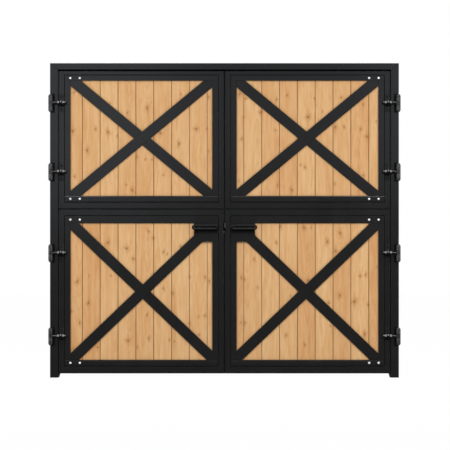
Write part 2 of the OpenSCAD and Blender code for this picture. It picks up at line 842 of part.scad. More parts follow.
module short_braces(level, side) {
    color("#242424") difference() {
        on_leaf(level, side) difference() {
            intersection() {
                brace_bar(level, -long_rise[side], brace_w, 0);
                field_prism(level);
            }
            brace_bar(level, long_rise[side], brace_w + 2 * strip_joint, over);
        }
        if (level == LOWER) latch_pocket(side);
    }
}

module strip_bolts(level, side) {
    grip = leaf_depth + strip_proud;
    color("#d8d8d8") on_leaf(level, side) strip_bolt_places(level) {
        domed_screw(bolt_head_r, bolt_head_h, bolt_r, grip + strip_nut_h + strip_bolt_tail);
        translate([0, 0, -grip - strip_nut_h]) hex_nut(strip_nut_af, strip_nut_h);
    }
}

// Places of the screws that hold a leaf's saddles to its hinge stile
module saddle_screw_places(level) {
    for (z = hinge_z[level], end = [-1, 1])
        translate([stile_face / 2, -hinge_plate_t, z + end * (saddle_h / 2 - saddle_screw_edge)])
            face_front() children();
}

module saddle_screw(room) {
    domed_screw(
        saddle_head_r, saddle_head_h,
        saddle_screw_r + room, hinge_plate_t + leaf_wall + screw_bite
    );
}

module screws(level, side) {
    color("#1c1c1c") on_leaf(level, side) {
        cross_place(level) difference() {
            cross_screw(0);
            socket_cut(cross_head_r, cross_head_h);
        }
        saddle_screw_places(level) difference() {
            saddle_screw(0);
            socket_cut(saddle_head_r, saddle_head_h);
        }
    }
}

// Runs a shape made up along Z along the arm of each hinge of a leaf, from x
module on_arms(level, side, x) {
    on_side(side) for (z = hinge_z[level])
        translate([x, -axis_stand, leaf_z[level] + z]) rotate([0, 90, 0]) children();
}

module hinge_arms(level, side) {
    arm_end = lug_x + lug_t + nut_t + nut_dome / 2;
    color("#1c1c1c") on_side(side) for (z = hinge_z[level])
        translate([axis_x, -axis_stand, leaf_z[level] + z]) difference() {
            union() {
                translate([0, 0, -eye_h / 2]) cylinder(r = knuckle_r, h = eye_h);
                rotate([0, 90, 0]) cylinder(r = arm_r, h = arm_end - axis_x);
            }
            translate([0, 0, -eye_h]) cylinder(r = pin_r + pin_fit / 2, h = 2 * eye_h);
        }
}

module hinge_saddles(level, side) {
    crown_r = lug_t / 2 - lug_crown;
    color("#1c1c1c") difference() {
        union() {
            on_leaf(level, side) for (z = hinge_z[level])
                translate([(stile_face - saddle_w) / 2, 0, z - saddle_h / 2])
                    door_prism(-hinge_plate_t, 0) rounded_rect(saddle_w, saddle_h, hinge_plate_r);
            on_arms(level, side, lug_x) rotate_extrude() difference() {
                square([lug_r, lug_t]);
                corner_cut(lug_r, 0, 90, crown_r);
                corner_cut(lug_r, lug_t, 180, crown_r);
            }
            on_side(side) for (z = hinge_z[level])
                translate([lug_x + lug_crown, -axis_stand, leaf_z[level] + z - lug_web_h / 2])
                    cube([lug_t - 2 * lug_crown, axis_stand - hinge_plate_t / 2, lug_web_h]);
        }
        on_arms(level, side, lug_x - over) cylinder(r = arm_r + arm_fit, h = lug_t + 2 * over);
        on_leaf(level, side) saddle_screw_places(level) saddle_screw(bolt_fit);
    }
}

module hinge_nuts(level, side) {
    dome_r = nut_af / 2 - dome_lip;
    color("#141414") {
        on_arms(level, side, lug_x - nut_seat - nut_t) difference() {
            rotate(nut_turn) hex_nut(nut_af, nut_t);
            translate([0, 0, -over]) cylinder(r = arm_r + arm_fit, h = nut_t + 2 * over);
        }
        on_arms(level, side, lug_x + lug_t + nut_seat) difference() {
            union() {
                rotate(nut_turn) hex_nut(nut_af, nut_t);
                rotate_extrude() intersection() {
                    union() {
                        square([dome_r, nut_t + nut_dome - dome_r]);
                        translate([0, nut_t + nut_dome - dome_r]) circle(dome_r);
                    }
                    square([dome_r, nut_t + nut_dome]);
                }
            }
            translate([0, 0, -over]) cylinder(r = arm_r + arm_fit, h = nut_t + nut_dome / 2 + over);
        }
    }
}

// Moves a piece to each post of a pull
module at_posts() {
    for (way = [-1, 1]) translate([loop_x + way * post_spacing / 2, 0, loop_z]) children();
}

module lock_plate(side) {
    slot_r = post_r + post_fit;
    color("#232323") on_side(side) difference() {
        translate([meeting_x - plate_inset - plate_w, 0, lower_top - plate_drop - plate_h])
            door_prism(plate_y, -strip_proud) rounded_rect(plate_w, plate_h, plate_r);
        at_posts() door_prism(plate_y - over, -strip_proud + over) union() {
            circle(slot_r);
            translate([0, -slot_r]) square([latch_throw, 2 * slot_r]);
            translate([latch_throw, 0]) circle(slot_r);
        }
    }
}

// Loop bent from round bar, with two posts that pass through the lock plate to the bolt
module pull(side) {
    bend_r = loop_h / 2 - loop_bar_r;
    straight = loop_len - loop_h;
    color("#1a1a1a") on_side(side) union() {
        translate([loop_x, loop_y, loop_z]) {
            for (up = [-1, 1]) translate([-straight / 2, 0, up * bend_r])
                rotate([0, 90, 0]) cylinder(r = loop_bar_r, h = straight);
            for (end = [0, 1]) mirror([end, 0, 0]) translate([straight / 2, 0, 0])
                rotate([90, 0, 0]) rotate([0, 0, -90]) rotate_extrude(angle = 180)
                    translate([bend_r, 0]) circle(loop_bar_r);
        }
        at_posts() {
            translate([-post_r, loop_y + loop_bar_r / 2, -bend_r])
                cube([2 * post_r, loop_bar_r, 2 * bend_r]);
            translate([0, loop_y + loop_bar_r, 0]) rotate([-90, 0, 0])
                cylinder(r = post_r, h = slide_y - loop_y - loop_bar_r);
        }
    }
}

// Flat bolt behind a lock plate: a carriage under the posts, and a nose through the stile
module latch_bolt(side) {
    color("#b8b8b4") on_side(side) door_prism(slide_y, slide_y + slide_t) polygon([
        [slide_x[0], slide_low[side]], [slide_x[0], slide_high[side]],
        [slide_x[1], slide_high[side]], [slide_x[1], nose_z[side] + nose_h[side] / 2],
        [nose_reach, nose_z[side] + nose_h[side] / 2],
        [nose_reach, nose_z[side] - nose_h[side] / 2],
        [slide_x[1], nose_z[side] - nose_h[side] / 2], [slide_x[1], slide_low[side]]
    ]);
}

// Block round a tie rod, bored along Z, standing on z = 0
module tie_block() {
    difference() {
        translate([tie_x - tie_block_w / 2, leaf_depth, 0]) union() {
            cube([tie_block_w, tie_y - leaf_depth, tie_block_h]);
            translate([tie_block_w / 2, tie_y - leaf_depth, 0])
                cylinder(r = tie_block_r, h = tie_block_h);
        }
        translate([tie_x, tie_y, -over])
            cylinder(r = tie_r + tie_fit, h = tie_block_h + 2 * over);
    }
}

module tie_guide(side) {
    color("#262626") on_side(side) union() {
        translate([tie_x - tie_block_w / 2, leaf_depth, guide_z])
            cube([tie_block_w, tie_plate_t, guide_h]);
        for (lift = [0, tie_block_h + tie_window])
            translate([0, 0, guide_z + lift]) tie_block();
    }
}

module tie_rod(side) {
    color("#c4c4c0") on_side(side) translate([tie_x, tie_y, rod_low]) union() {
        cylinder(r = tie_r, h = guide_h + tie_tail);
        translate([0, 0, knob_lift]) rotate([-90, 0, 0]) cylinder(r = knob_r, h = knob_l - knob_r);
        translate([0, knob_l - knob_r, knob_lift]) sphere(r = knob_r);
    }
}

// Staple on the lower leaf with a square eye that takes the thrown rod
module tie_keeper(side) {
    eye = 2 * (tie_r + keeper_fit);
    color("#262626") on_side(side) translate([tie_x, leaf_depth, keeper_z])
        linear_extrude(tie_block_h) difference() {
            translate([-tie_block_w / 2, 0])
                rounded_rect(tie_block_w, tie_block_y - leaf_depth, keeper_edge_r);
            translate([-eye / 2, tie_stand - eye / 2]) square(eye);
        }
}

jamb(LEFT);  // left_jamb
jamb(RIGHT);  // right_jamb
head();
hinge_brackets(LEFT);  // left_hinge_brackets
hinge_brackets(RIGHT);  // right_hinge_brackets
hinge_pins(LEFT);  // left_hinge_pins
hinge_pins(RIGHT);  // right_hinge_pins
hinge_bracket_screws();

leaf_frame(UPPER, LEFT);  // upper_left_leaf_frame
strips(UPPER, LEFT);  // upper_left_strips
boards(UPPER, LEFT);  // upper_left_boards
long_brace(UPPER, LEFT);  // upper_left_long_brace
short_braces(UPPER, LEFT);  // upper_left_short_braces
strip_bolts(UPPER, LEFT);  // upper_left_strip_bolts
screws(UPPER, LEFT);  // upper_left_screws
hinge_arms(UPPER, LEFT);  // upper_left_hinge_arms
hinge_saddles(UPPER, LEFT);  // upper_left_hinge_saddles
hinge_nuts(UPPER, LEFT);  // upper_left_hinge_nuts

leaf_frame(UPPER, RIGHT);  // upper_right_leaf_frame
strips(UPPER, RIGHT);  // upper_right_strips
boards(UPPER, RIGHT);  // upper_right_boards
long_brace(UPPER, RIGHT);  // upper_right_long_brace
short_braces(UPPER, RIGHT);  // upper_right_short_braces
strip_bolts(UPPER, RIGHT);  // upper_right_strip_bolts
screws(UPPER, RIGHT);  // upper_right_screws
hinge_arms(UPPER, RIGHT);  // upper_right_hinge_arms
hinge_saddles(UPPER, RIGHT);  // upper_right_hinge_saddles
hinge_nuts(UPPER, RIGHT);  // upper_right_hinge_nuts

leaf_frame(LOWER, LEFT);  // lower_left_leaf_frame
strips(LOWER, LEFT);  // lower_left_strips
boards(LOWER, LEFT);  // lower_left_boards
long_brace(LOWER, LEFT);  // lower_left_long_brace
short_braces(LOWER, LEFT);  // lower_left_short_braces
strip_bolts(LOWER, LEFT);  // lower_left_strip_bolts
screws(LOWER, LEFT);  // lower_left_screws
hinge_arms(LOWER, LEFT);  // lower_left_hinge_arms
hinge_saddles(LOWER, LEFT);  // lower_left_hinge_saddles
hinge_nuts(LOWER, LEFT);  // lower_left_hinge_nuts

leaf_frame(LOWER, RIGHT);  // lower_right_leaf_frame
strips(LOWER, RIGHT);  // lower_right_strips
boards(LOWER, RIGHT);  // lower_right_boards
long_brace(LOWER, RIGHT);  // lower_right_long_brace
short_braces(LOWER, RIGHT);  // lower_right_short_braces
strip_bolts(LOWER, RIGHT);  // lower_right_strip_bolts
screws(LOWER, RIGHT);  // lower_right_screws
hinge_arms(LOWER, RIGHT);  // lower_right_hinge_arms
hinge_saddles(LOWER, RIGHT);  // lower_right_hinge_saddles
hinge_nuts(LOWER, RIGHT);  // lower_right_hinge_nuts

lock_plate(LEFT);  // left_lock_plate
lock_plate(RIGHT);  // right_lock_plate
pull(LEFT);  // left_pull
pull(RIGHT);  // right_pull
latch_bolt(LEFT);  // left_latch_bolt
latch_bolt(RIGHT);  // right_latch_bolt
tie_guide(LEFT);  // left_tie_guide
tie_guide(RIGHT);  // right_tie_guide
tie_rod(LEFT);  // left_tie_rod
tie_rod(RIGHT);  // right_tie_rod
tie_keeper(LEFT);  // left_tie_keeper
tie_keeper(RIGHT);  // right_tie_keeper
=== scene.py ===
import json
import math
import bpy
import numpy as np
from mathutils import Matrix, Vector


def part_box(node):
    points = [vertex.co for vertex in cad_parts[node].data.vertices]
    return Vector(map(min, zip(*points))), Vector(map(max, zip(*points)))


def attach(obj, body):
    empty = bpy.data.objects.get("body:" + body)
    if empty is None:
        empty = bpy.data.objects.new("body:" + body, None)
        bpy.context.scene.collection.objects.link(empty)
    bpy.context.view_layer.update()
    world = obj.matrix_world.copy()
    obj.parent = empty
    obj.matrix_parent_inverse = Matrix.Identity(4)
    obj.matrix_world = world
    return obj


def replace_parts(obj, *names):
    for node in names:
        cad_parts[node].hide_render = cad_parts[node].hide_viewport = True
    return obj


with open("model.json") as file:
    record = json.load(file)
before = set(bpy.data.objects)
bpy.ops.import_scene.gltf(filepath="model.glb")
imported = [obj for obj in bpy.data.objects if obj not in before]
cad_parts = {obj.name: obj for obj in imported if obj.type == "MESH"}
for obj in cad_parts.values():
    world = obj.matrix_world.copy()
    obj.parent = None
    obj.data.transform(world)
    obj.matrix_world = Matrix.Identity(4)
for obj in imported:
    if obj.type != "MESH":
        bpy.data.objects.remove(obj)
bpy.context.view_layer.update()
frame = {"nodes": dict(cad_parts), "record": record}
print("stage: door frame loaded,", len(frame["nodes"]), "nodes")

leafNames = ["upper_left", "upper_right", "lower_left", "lower_right"]


# small helpers for node trees

def addNode(tree, kind, at=(0, 0), **settings):
    n = tree.nodes.new(kind)
    n.location = at
    for key, value in settings.items():
        setattr(n, key, value)
    return n


def join(tree, source, sink):
    tree.links.new(source, sink)


def mathNode(tree, operation, a, b=None, c=None, clamp=False):
    n = addNode(tree, "ShaderNodeMath", operation=operation, use_clamp=clamp)
    for i, v in enumerate((a, b, c)):
        if v is None:
            continue
        if isinstance(v, (int, float)):
            n.inputs[i].default_value = v
        else:
            join(tree, v, n.inputs[i])
    return n.outputs[0]


def stepNode(tree, value, low, high, toLow=0.0, toHigh=1.0):
    # smooth ramp of a value between two limits
    n = addNode(tree, "ShaderNodeMapRange", interpolation_type="SMOOTHSTEP")
    join(tree, value, n.inputs["Value"])
    n.inputs["From Min"].default_value = low
    n.inputs["From Max"].default_value = high
    n.inputs["To Min"].default_value = toLow
    n.inputs["To Max"].default_value = toHigh
    return n.outputs["Result"]


def mixColour(tree, factor, a, b, blend="MIX"):
    n = addNode(tree, "ShaderNodeMix", data_type="RGBA", blend_type=blend)
    for socket, v in ((n.inputs[0], factor), (n.inputs[6], a), (n.inputs[7], b)):
        if isinstance(v, (int, float)):
            socket.default_value = v
        elif isinstance(v, tuple):
            socket.default_value = (*v, 1)
        else:
            join(tree, v, socket)
    return n.outputs[2]


def noiseNode(tree, vector, scale, detail=3.0, rough=0.5, distortion=0.0):
    n = addNode(tree, "ShaderNodeTexNoise")
    join(tree, vector, n.inputs["Vector"])
    n.inputs["Scale"].default_value = scale
    n.inputs["Detail"].default_value = detail
    n.inputs["Roughness"].default_value = rough
    n.inputs["Distortion"].default_value = distortion
    return n.outputs["Fac"]


def stretched(tree, vector, scale, shift=None):
    n = addNode(tree, "ShaderNodeMapping", vector_type="POINT")
    join(tree, vector, n.inputs["Vector"])
    n.inputs["Scale"].default_value = scale
    if shift is not None:
        join(tree, shift, n.inputs["Location"])
    return n.outputs["Vector"]


def newGroup(name, ins, outs):
    g = bpy.data.node_groups.new(name, "ShaderNodeTree")
    for label, kind, value in ins:
        s = g.interface.new_socket(label, in_out="INPUT", socket_type=kind)
        if value is not None:
            s.default_value = value
    for label, kind in outs:
        g.interface.new_socket(label, in_out="OUTPUT", socket_type=kind)
    return g, addNode(g, "NodeGroupInput"), addNode(g, "NodeGroupOutput", (1400, 0))


def newMaterial(name):
    m = bpy.data.materials.new(name)
    m.use_nodes = True
    t = m.node_tree
    t.nodes.clear()
    out = addNode(t, "ShaderNodeOutputMaterial", (1400, 0))
    bsdf = addNode(t, "ShaderNodeBsdfPrincipled", (1100, 0))
    join(t, bsdf.outputs[0], out.inputs["Surface"])
    return m, t, bsdf


def placeGroup(tree, group, **values):
    n = addNode(tree, "ShaderNodeGroup", node_tree=group)
    for key, v in values.items():
        socket = n.inputs[key]
        if isinstance(v, (int, float, tuple)):
            socket.default_value = v
        else:
            join(tree, v, socket)
    return n


def addBump(tree, bsdf, height, strength, distance):
    b = addNode(tree, "ShaderNodeBump", (900, -300))
    b.inputs["Strength"].default_value = strength
    b.inputs["Distance"].default_value = distance
    join(tree, height, b.inputs["Height"])
    join(tree, b.outputs["Normal"], bsdf.inputs["Normal"])


# shared effects

def makeCoatSkin():
    # fine orange peel of sprayed powder, with broad soft mottling
    g, i, o = newGroup("coatSkin", [("Vector", "NodeSocketVector", None), ("Grain", "NodeSocketFloat", 900.0)],
                       [("Mottle", "NodeSocketFloat"), ("Peel", "NodeSocketFloat")])
    fine = addNode(g, "ShaderNodeTexNoise")
    join(g, i.outputs["Vector"], fine.inputs["Vector"])
    join(g, i.outputs["Grain"], fine.inputs["Scale"])
    fine.inputs["Detail"].default_value = 2.0
    broad = noiseNode(g, i.outputs["Vector"], 5.0, 4.0, 0.6)
    join(g, stepNode(g, broad, 0.3, 0.7), o.inputs["Mottle"])
    join(g, fine.outputs["Fac"], o.inputs["Peel"])
    return g


rubSizes = dict(stretch=(9, 9, 120), fine=4.0, coarse=11.0, lines=(.58, .74), spots=(.5, .72))


def makeScuff(s):
    # thin pale rubs, long one way and broken up by a second noise
    g, i, o = newGroup("scuff", [("Vector", "NodeSocketVector", None), ("Amount", "NodeSocketFloat", 0.5)],
                       [("Mask", "NodeSocketFloat")])
    lines = noiseNode(g, stretched(g, i.outputs["Vector"], s["stretch"]), s["fine"], 6.0, 0.7)
    spots = noiseNode(g, i.outputs["Vector"], s["coarse"], 3.0, 0.6)
    both = mathNode(g, "MULTIPLY", stepNode(g, lines, *s["lines"]), stepNode(g, spots, *s["spots"]))
    join(g, mathNode(g, "MULTIPLY", both, i.outputs["Amount"], clamp=True), o.inputs["Mask"])
    return g


dustAndHighlightSizes = dict(aside=(.06, .42), up=(.22, .5), noise=160.0, patch=(.2, .6), least=.55)


def makeTopDustAndHighlight(s):
    # pale dust and a painted highlight on what faces up, less on what also faces sideways, broken by a small noise
    ins = [("Vector", "NodeSocketVector", None), ("Amount", "NodeSocketFloat", 0.5), ("Side", "NodeSocketFloat", 0.0)]
    g, i, o = newGroup("topDustAndHighlight", ins, [("Mask", "NodeSocketFloat")])
    way = addNode(g, "ShaderNodeSeparateXYZ")
    join(g, addNode(g, "ShaderNodeNewGeometry").outputs["Normal"], way.inputs[0])
    aside = stepNode(g, mathNode(g, "ABSOLUTE", way.outputs["X"]), *s["aside"], 0.0, -1.0)
    up = mathNode(g, "MULTIPLY", stepNode(g, way.outputs["Z"], *s["up"]),
                  mathNode(g, "MULTIPLY_ADD", aside, i.outputs["Side"], 1.0))
    patch = stepNode(g, noiseNode(g, i.outputs["Vector"], s["noise"], 3.0, .6), *s["patch"], s["least"], 1.0)
    mask = mathNode(g, "MULTIPLY", mathNode(g, "MULTIPLY", up, patch), i.outputs["Amount"], clamp=True)
    join(g, mask, o.inputs["Mask"])
    return g


shadeSizes = dict(inner=(.040, .058), outer=(.218, .238), low=(1.058, 1.089), high=(1.096, 1.106))


def makeUnderShade(s):
    # painted shadow: a soft dark band on the lock plates under the pulls, ramped by the distance from the middle and
    # by height
    g, i, o = newGroup("underShade", [("Vector", "NodeSocketVector", None)], [("Mask", "NodeSocketFloat")])
    at = addNode(g, "ShaderNodeSeparateXYZ")
    join(g, i.outputs["Vector"], at.inputs[0])
    across = mathNode(g, "ABSOLUTE", at.outputs["X"])
    wide = mathNode(g, "MULTIPLY", stepNode(g, across, *s["inner"]), stepNode(g, across, *s["outer"], 1.0, 0.0))
    height = at.outputs["Z"]
    tall = mathNode(g, "MULTIPLY", stepNode(g, height, *s["low"]), stepNode(g, height, *s["high"], 1.0, 0.0))
    join(g, mathNode(g, "MULTIPLY", wide, tall), o.inputs["Mask"])
    return g


coatSkin = makeCoatSkin()
topDustAndHighlight = makeTopDustAndHighlight(dustAndHighlightSizes)
scuff = makeScuff(rubSizes)
underShade = makeUnderShade(shadeSizes)


# black coats, bright metal

coatLook = dict(
    grain=700.0, rub=.35, rubPale=3, mottleRough=.05, roughLess=.02, rubRough=.2, dustRough=.3, deep=.0004,
    dustAndHighlightColour=(.46, .46, .455))
coats = {  # the dust amount is how much pale dust and painted highlight lies on what faces up, side how much less lies on what also faces sideways
    "frame_black": dict(colour=(.0040, .0040, .0041), pale=(.0058, .0058, .0060),
                        rough=.18, specular=.125, peel=.04, dustAndHighlight=0),
    "leaf_black": dict(colour=(.0038, .0038, .0039), pale=(.0056, .0056, .0058),
                       rough=.18, specular=.125, peel=.04, dustAndHighlight=0),
    "strip_black": dict(colour=(.0040, .0040, .0041), pale=(.0058, .0058, .0060),
                        rough=.19, specular=.125, peel=.04, dustAndHighlight=0),
    "plate_black": dict(colour=(.0038, .0038, .0039), pale=(.0056, .0056, .0058),
                        rough=.21, specular=.125, peel=.04, dustAndHighlight=0),
    # its shade colour is a painted shadow under the pulls
    "lock_black": dict(colour=(.0138, .0138, .0140), pale=(.0152, .0152, .0155),
                       rough=.30, specular=.02, peel=.04, dustAndHighlight=0,
                       shade=(.0012, .0012, .0012)),
    # near-black: the hinge bracket plates and the sheets under the lugs, dark as painted shade
    "bracket_black": dict(colour=(.0018, .0018, .0019), pale=(.0032, .0032, .0034),
                          rough=.42, specular=.04, peel=.08, dustAndHighlight=0),
    "tie_black": dict(colour=(.0045, .0045, .0047), pale=(.0070, .0071, .0074),
                      rough=.34, specular=.16, peel=.06, dustAndHighlight=.1),
    "hinge_black": dict(colour=(.0030, .0030, .0032), pale=(.0050, .0050, .0053),
                        rough=.16, specular=.45, peel=.02, dustAndHighlight=.1),
    "arm_black": dict(colour=(.0024, .0024, .0026), pale=(.0040, .0040, .0043),
                      rough=.18, specular=.30, peel=.02, dustAndHighlight=.55),
    "pull_black": dict(colour=(.0018, .0018, .0019), pale=(.0030, .0030, .0032),
                       rough=.24, specular=.085, peel=.03, dustAndHighlight=.095),
    "nut_black": dict(colour=(.0018, .0018, .0020), pale=(.0030, .0030, .0033),
                      rough=.22, specular=.06, peel=.02, dustAndHighlight=.60, side=1.0),
}


def makeCoat(name, c, look):
    m, t, bsdf = newMaterial(name)
    co = addNode(t, "ShaderNodeTexCoord", (-900, 0)).outputs["Object"]
    skin = placeGroup(t, coatSkin, Vector=co, Grain=look["grain"])
    rub = placeGroup(t, scuff, Vector=co, Amount=look["rub"])
    tone = mixColour(t, skin.outputs["Mottle"], c["colour"], c["pale"])
    tone = mixColour(t, rub.outputs["Mask"], tone, tuple(look["rubPale"] * v for v in c["pale"]))
    dull = mathNode(t, "MULTIPLY_ADD", skin.outputs["Mottle"], look["mottleRough"], c["rough"] - look["roughLess"])
    dull = mathNode(t, "MULTIPLY_ADD", rub.outputs["Mask"], look["rubRough"], dull)
    # pale dust and a painted highlight on what faces up
    if c["dustAndHighlight"]:
        dustAndHighlightMask = placeGroup(t, topDustAndHighlight, Vector=co, Amount=c["dustAndHighlight"], Side=c.get("side", 0.0)).outputs["Mask"]
        tone = mixColour(t, dustAndHighlightMask, tone, look["dustAndHighlightColour"])
        dull = mathNode(t, "MULTIPLY_ADD", dustAndHighlightMask, look["dustRough"], dull)
    # painted shadow under the pulls, where a coat has a shade colour
    if "shade" in c:
        tone = mixColour(t, placeGroup(t, underShade, Vector=co).outputs["Mask"], tone, c["shade"])
    join(t, tone, bsdf.inputs["Base Color"])
    join(t, dull, bsdf.inputs["Roughness"])
    bsdf.inputs["Specular IOR Level"].default_value = c["specular"]
    addBump(t, bsdf, skin.outputs["Peel"], c["peel"], look["deep"])
    return m


metals = {
    "bright_bolt": dict(colour=(.80, .80, .81), dark=(.66, .66, .67), rough=.30, grain=(60, 60, 60)),
    "latch_steel": dict(colour=(.042, .0395, .0365), dark=(.028, .0264, .0244), rough=.36, grain=(30, 900, 900)),
}


def makeMetal(name, c):
    m, t, bsdf = newMaterial(name)
    co = addNode(t, "ShaderNodeTexCoord", (-900, 0)).outputs["Object"]
    lines = noiseNode(t, stretched(t, co, c["grain"]), 1.0, 3.0, .6)
    skin = placeGroup(t, coatSkin, Vector=co, Grain=350.0)
    tone = mixColour(t, stepNode(t, lines, .35, .7), c["dark"], c["colour"])
    join(t, mixColour(t, skin.outputs["Mottle"], tone, c["colour"]), bsdf.inputs["Base Color"])
    bsdf.inputs["Metallic"].default_value = 1.0
    join(t, mathNode(t, "MULTIPLY_ADD", lines, .16, c["rough"] - .08), bsdf.inputs["Roughness"])
    addBump(t, bsdf, lines, .06, .0003)
    return m


finishes = {name: makeCoat(name, c, coatLook) for name, c in coats.items()}
finishes.update({name: makeMetal(name, c) for name, c in metals.items()})
print("stage: coats and metals made")


# pine

pineLook = dict(
    light=(.755, .488, .245), mid=(.690, .398, .177), dark=(.573, .284, .106), knot=(.29, .122, .042),
    halo=(.49, .238, .082), groove=(.20, .099, .041), paintedShade=(.004, .004, .004), rough=.56, specular=.05,
    streak=(46, 46, 4.8), fleck=(105, 105, 11.0), band=(14, 14, 1.1), fibre=(420, 420, 9), shift=(37.0, 53.0),
    early=(.15, .15, .15, 1), late=((.45, .22), (.72, .62), (.86, 1.0), (.95, .55)))


def makePine(c):
    # growth rings from the ring attribute, streaks and fibres along Z, knots from the knot attribute
    m, t, bsdf = newMaterial("pine")
    co = addNode(t, "ShaderNodeTexCoord", (-1500, 0)).outputs["Object"]
    ring = addNode(t, "ShaderNodeAttribute", attribute_name="ring").outputs["Fac"]
    knot = addNode(t, "ShaderNodeAttribute", attribute_name="knot").outputs["Fac"]
    tone = addNode(t, "ShaderNodeAttribute", attribute_name="tone").outputs["Fac"]
    edge = addNode(t, "ShaderNodeAttribute", attribute_name="edge").outputs["Fac"]
    paintedShade = addNode(t, "ShaderNodeAttribute", attribute_name="paintedShade").outputs["Fac"]
    barShade = addNode(t, "ShaderNodeAttribute", attribute_name="barShade").outputs["Fac"]
    offset = addNode(t, "ShaderNodeCombineXYZ")
    join(t, mathNode(t, "MULTIPLY", tone, c["shift"][0]), offset.inputs["X"])
    join(t, mathNode(t, "MULTIPLY", tone, c["shift"][1]), offset.inputs["Z"])
    streak = noiseNode(t, stretched(t, co, c["streak"], offset.outputs[0]), 1.0, 3.0, .55)
    fleck = noiseNode(t, stretched(t, co, c["fleck"], offset.outputs[0]), 1.0, 3.0, .6)
    band = noiseNode(t, stretched(t, co, c["band"], offset.outputs[0]), 1.0, 2.0, .5)
    fibre = noiseNode(t, stretched(t, co, c["fibre"], offset.outputs[0]), 1.0, 3.0, .65)
    late = addNode(t, "ShaderNodeValToRGB")
    ramp = late.color_ramp
    ramp.elements[0].position, ramp.elements[0].color = 0.0, c["early"]
    ramp.elements[1].position, ramp.elements[1].color = 1.0, c["early"]
    for at, v in c["late"]:
        ramp.elements.new(at).color = (v, v, v, 1)
    join(t, mathNode(t, "FRACT", ring), late.inputs["Fac"])
    base = mixColour(t, stepNode(t, streak, .32, .70), c["light"], c["mid"])
    base = mixColour(t, mathNode(t, "MULTIPLY", stepNode(t, band, .52, .78), .55), base, c["dark"])
    base = mixColour(t, stepNode(t, fleck, .52, .74, 0.0, .42), base, c["dark"])
    base = mixColour(t, stepNode(t, fleck, .46, .26, 0.0, .34), base, c["light"])
    base = mixColour(t, mathNode(t, "MULTIPLY", late.outputs["Color"], .34), base, c["dark"])
    base = mixColour(t, mathNode(t, "MULTIPLY", stepNode(t, fibre, .55, .8), .22), base, c["dark"])
    base = mixColour(t, mathNode(t, "MULTIPLY_ADD", tone, .34, -.06, clamp=True), base, c["mid"], "MULTIPLY")
    base = mixColour(t, stepNode(t, knot, 3.6, 1.0, 0.0, .62), base, c["halo"])
    base = mixColour(t, stepNode(t, knot, 1.15, .45, 0.0, .85), base, c["knot"])
    base = mixColour(t, mathNode(t, "MULTIPLY", edge, .9), base, c["groove"])
    # painted shade along the flat bars and the field's edges
    base = mixColour(t, mathNode(t, "MULTIPLY", barShade, .6), base, c["groove"])
    # painted shade and shadow: black under the tubes and plates, in the bolt pockets and below the lock plates
    base = mixColour(t, paintedShade, base, c["paintedShade"])
    join(t, base, bsdf.inputs["Base Color"])
    join(t, mathNode(t, "MULTIPLY_ADD", late.outputs["Color"], -.10, c["rough"]), bsdf.inputs["Roughness"])
    bsdf.inputs["Specular IOR Level"].default_value = c["specular"]
    relief = mathNode(t, "MULTIPLY_ADD", late.outputs["Color"], .6, fibre)
    addBump(t, bsdf, relief, .12, .0006)
    return m


finishes["pine"] = makePine(pineLook)
print("stage: pine made")


# closed surfaces from stacked loops

def loopFaces(rows, n):
    # quads between neighbouring loops of n points, with a cap on the first and on the last loop
    i, j = np.meshgrid(np.arange(rows - 1), np.arange(n), indexing="ij")
    k = (j + 1) % n
    quads = np.stack([i * n + j, i * n + k, (i + 1) * n + k, (i + 1) * n + j], -1).reshape(-1, 4)
    caps = np.stack([np.arange(n)[::-1], np.arange(n) + (rows - 1) * n])
    return quads, caps


def loopVolume(p):
    # signed volume inside the loops: a sixth of the triple products over each quad's two triangles and both caps
    q = p - p.mean((0, 1))
    a, b = q[:-1], np.roll(q[:-1], -1, 1)
    d, c = q[1:], np.roll(q[1:], -1, 1)
    total = (a * np.cross(b, c)).sum() + (a * np.cross(c, d)).sum()
    for loop, way in ((q[0], -1), (q[-1], 1)):
        total += way * (loop.mean(0) * np.cross(loop, np.roll(loop, -1, 0))).sum()
    return total / 6


def addPiece(name, stacks, material, body, sharp=40, fields=None):
    # every stack of loops becomes one closed shell with its faces outwards
    verts, faces, base = [], [], 0
    for p in stacks:
        quads, caps = loopFaces(*p.shape[:2])
        if loopVolume(p) < 0:
            quads, caps = quads[:, ::-1], caps[:, ::-1]
        faces += (quads + base).tolist() + (caps + base).tolist()
        verts.append(p.reshape(-1, 3))
        base += p.shape[0] * p.shape[1]
    mesh = bpy.data.meshes.new(name)
    mesh.from_pydata(np.concatenate(verts).tolist(), [], faces)
    for key, values in (fields or {}).items():
        field = mesh.attributes.new(key, "FLOAT", "POINT")
        field.data.foreach_set("value", np.concatenate(values).astype(np.float32))
    mesh.polygons.foreach_set("use_smooth", np.ones(len(mesh.polygons), bool))
    mesh.set_sharp_from_angle(angle=math.radians(sharp))
    mesh.materials.append(material)
    obj = bpy.data.objects.new(name, mesh)
    bpy.context.scene.collection.objects.link(obj)
    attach(obj, body)
    return obj


# boards, one closed surface for each plank of a leaf

plankSizes = dict(
    pitch=.132, chamfer=.004, gap=.0005, crown=.0004, rowStep=.0062, faceStep=.0052, ringGap=.0046,
    firstJoint={"left": -1.051, "right": 1.067}, jointCount=8, pocketDepth=.0085, pocketRamp=.004,
    rimDark=.006, barShadeFade=.0035, plateSide=.003, plateDark=.97, plateFade=.0150, braceHalf=.039, fieldSide=.086,
    field={"lower": (.1005, .103, .010, -.2), "upper": (.0925, .0725, .006, .5)},
    knotReach=.02, knotPush=3.2, knotUsual=.008, pushWide=2.6, pushTall=5.5, knotTall=1.4, tailWide=1.5, tailTall=3.4,
    tailFrom=.85, firstSeed=11)

pocketBoxes = {  # where the latch bolts run behind the lock plates: x0, x1, z0, z1
    "lower_left": (-.2155, -.0440, 1.0695, 1.1425),
    "lower_right": (.0440, .2155, 1.0985, 1.1460),
}

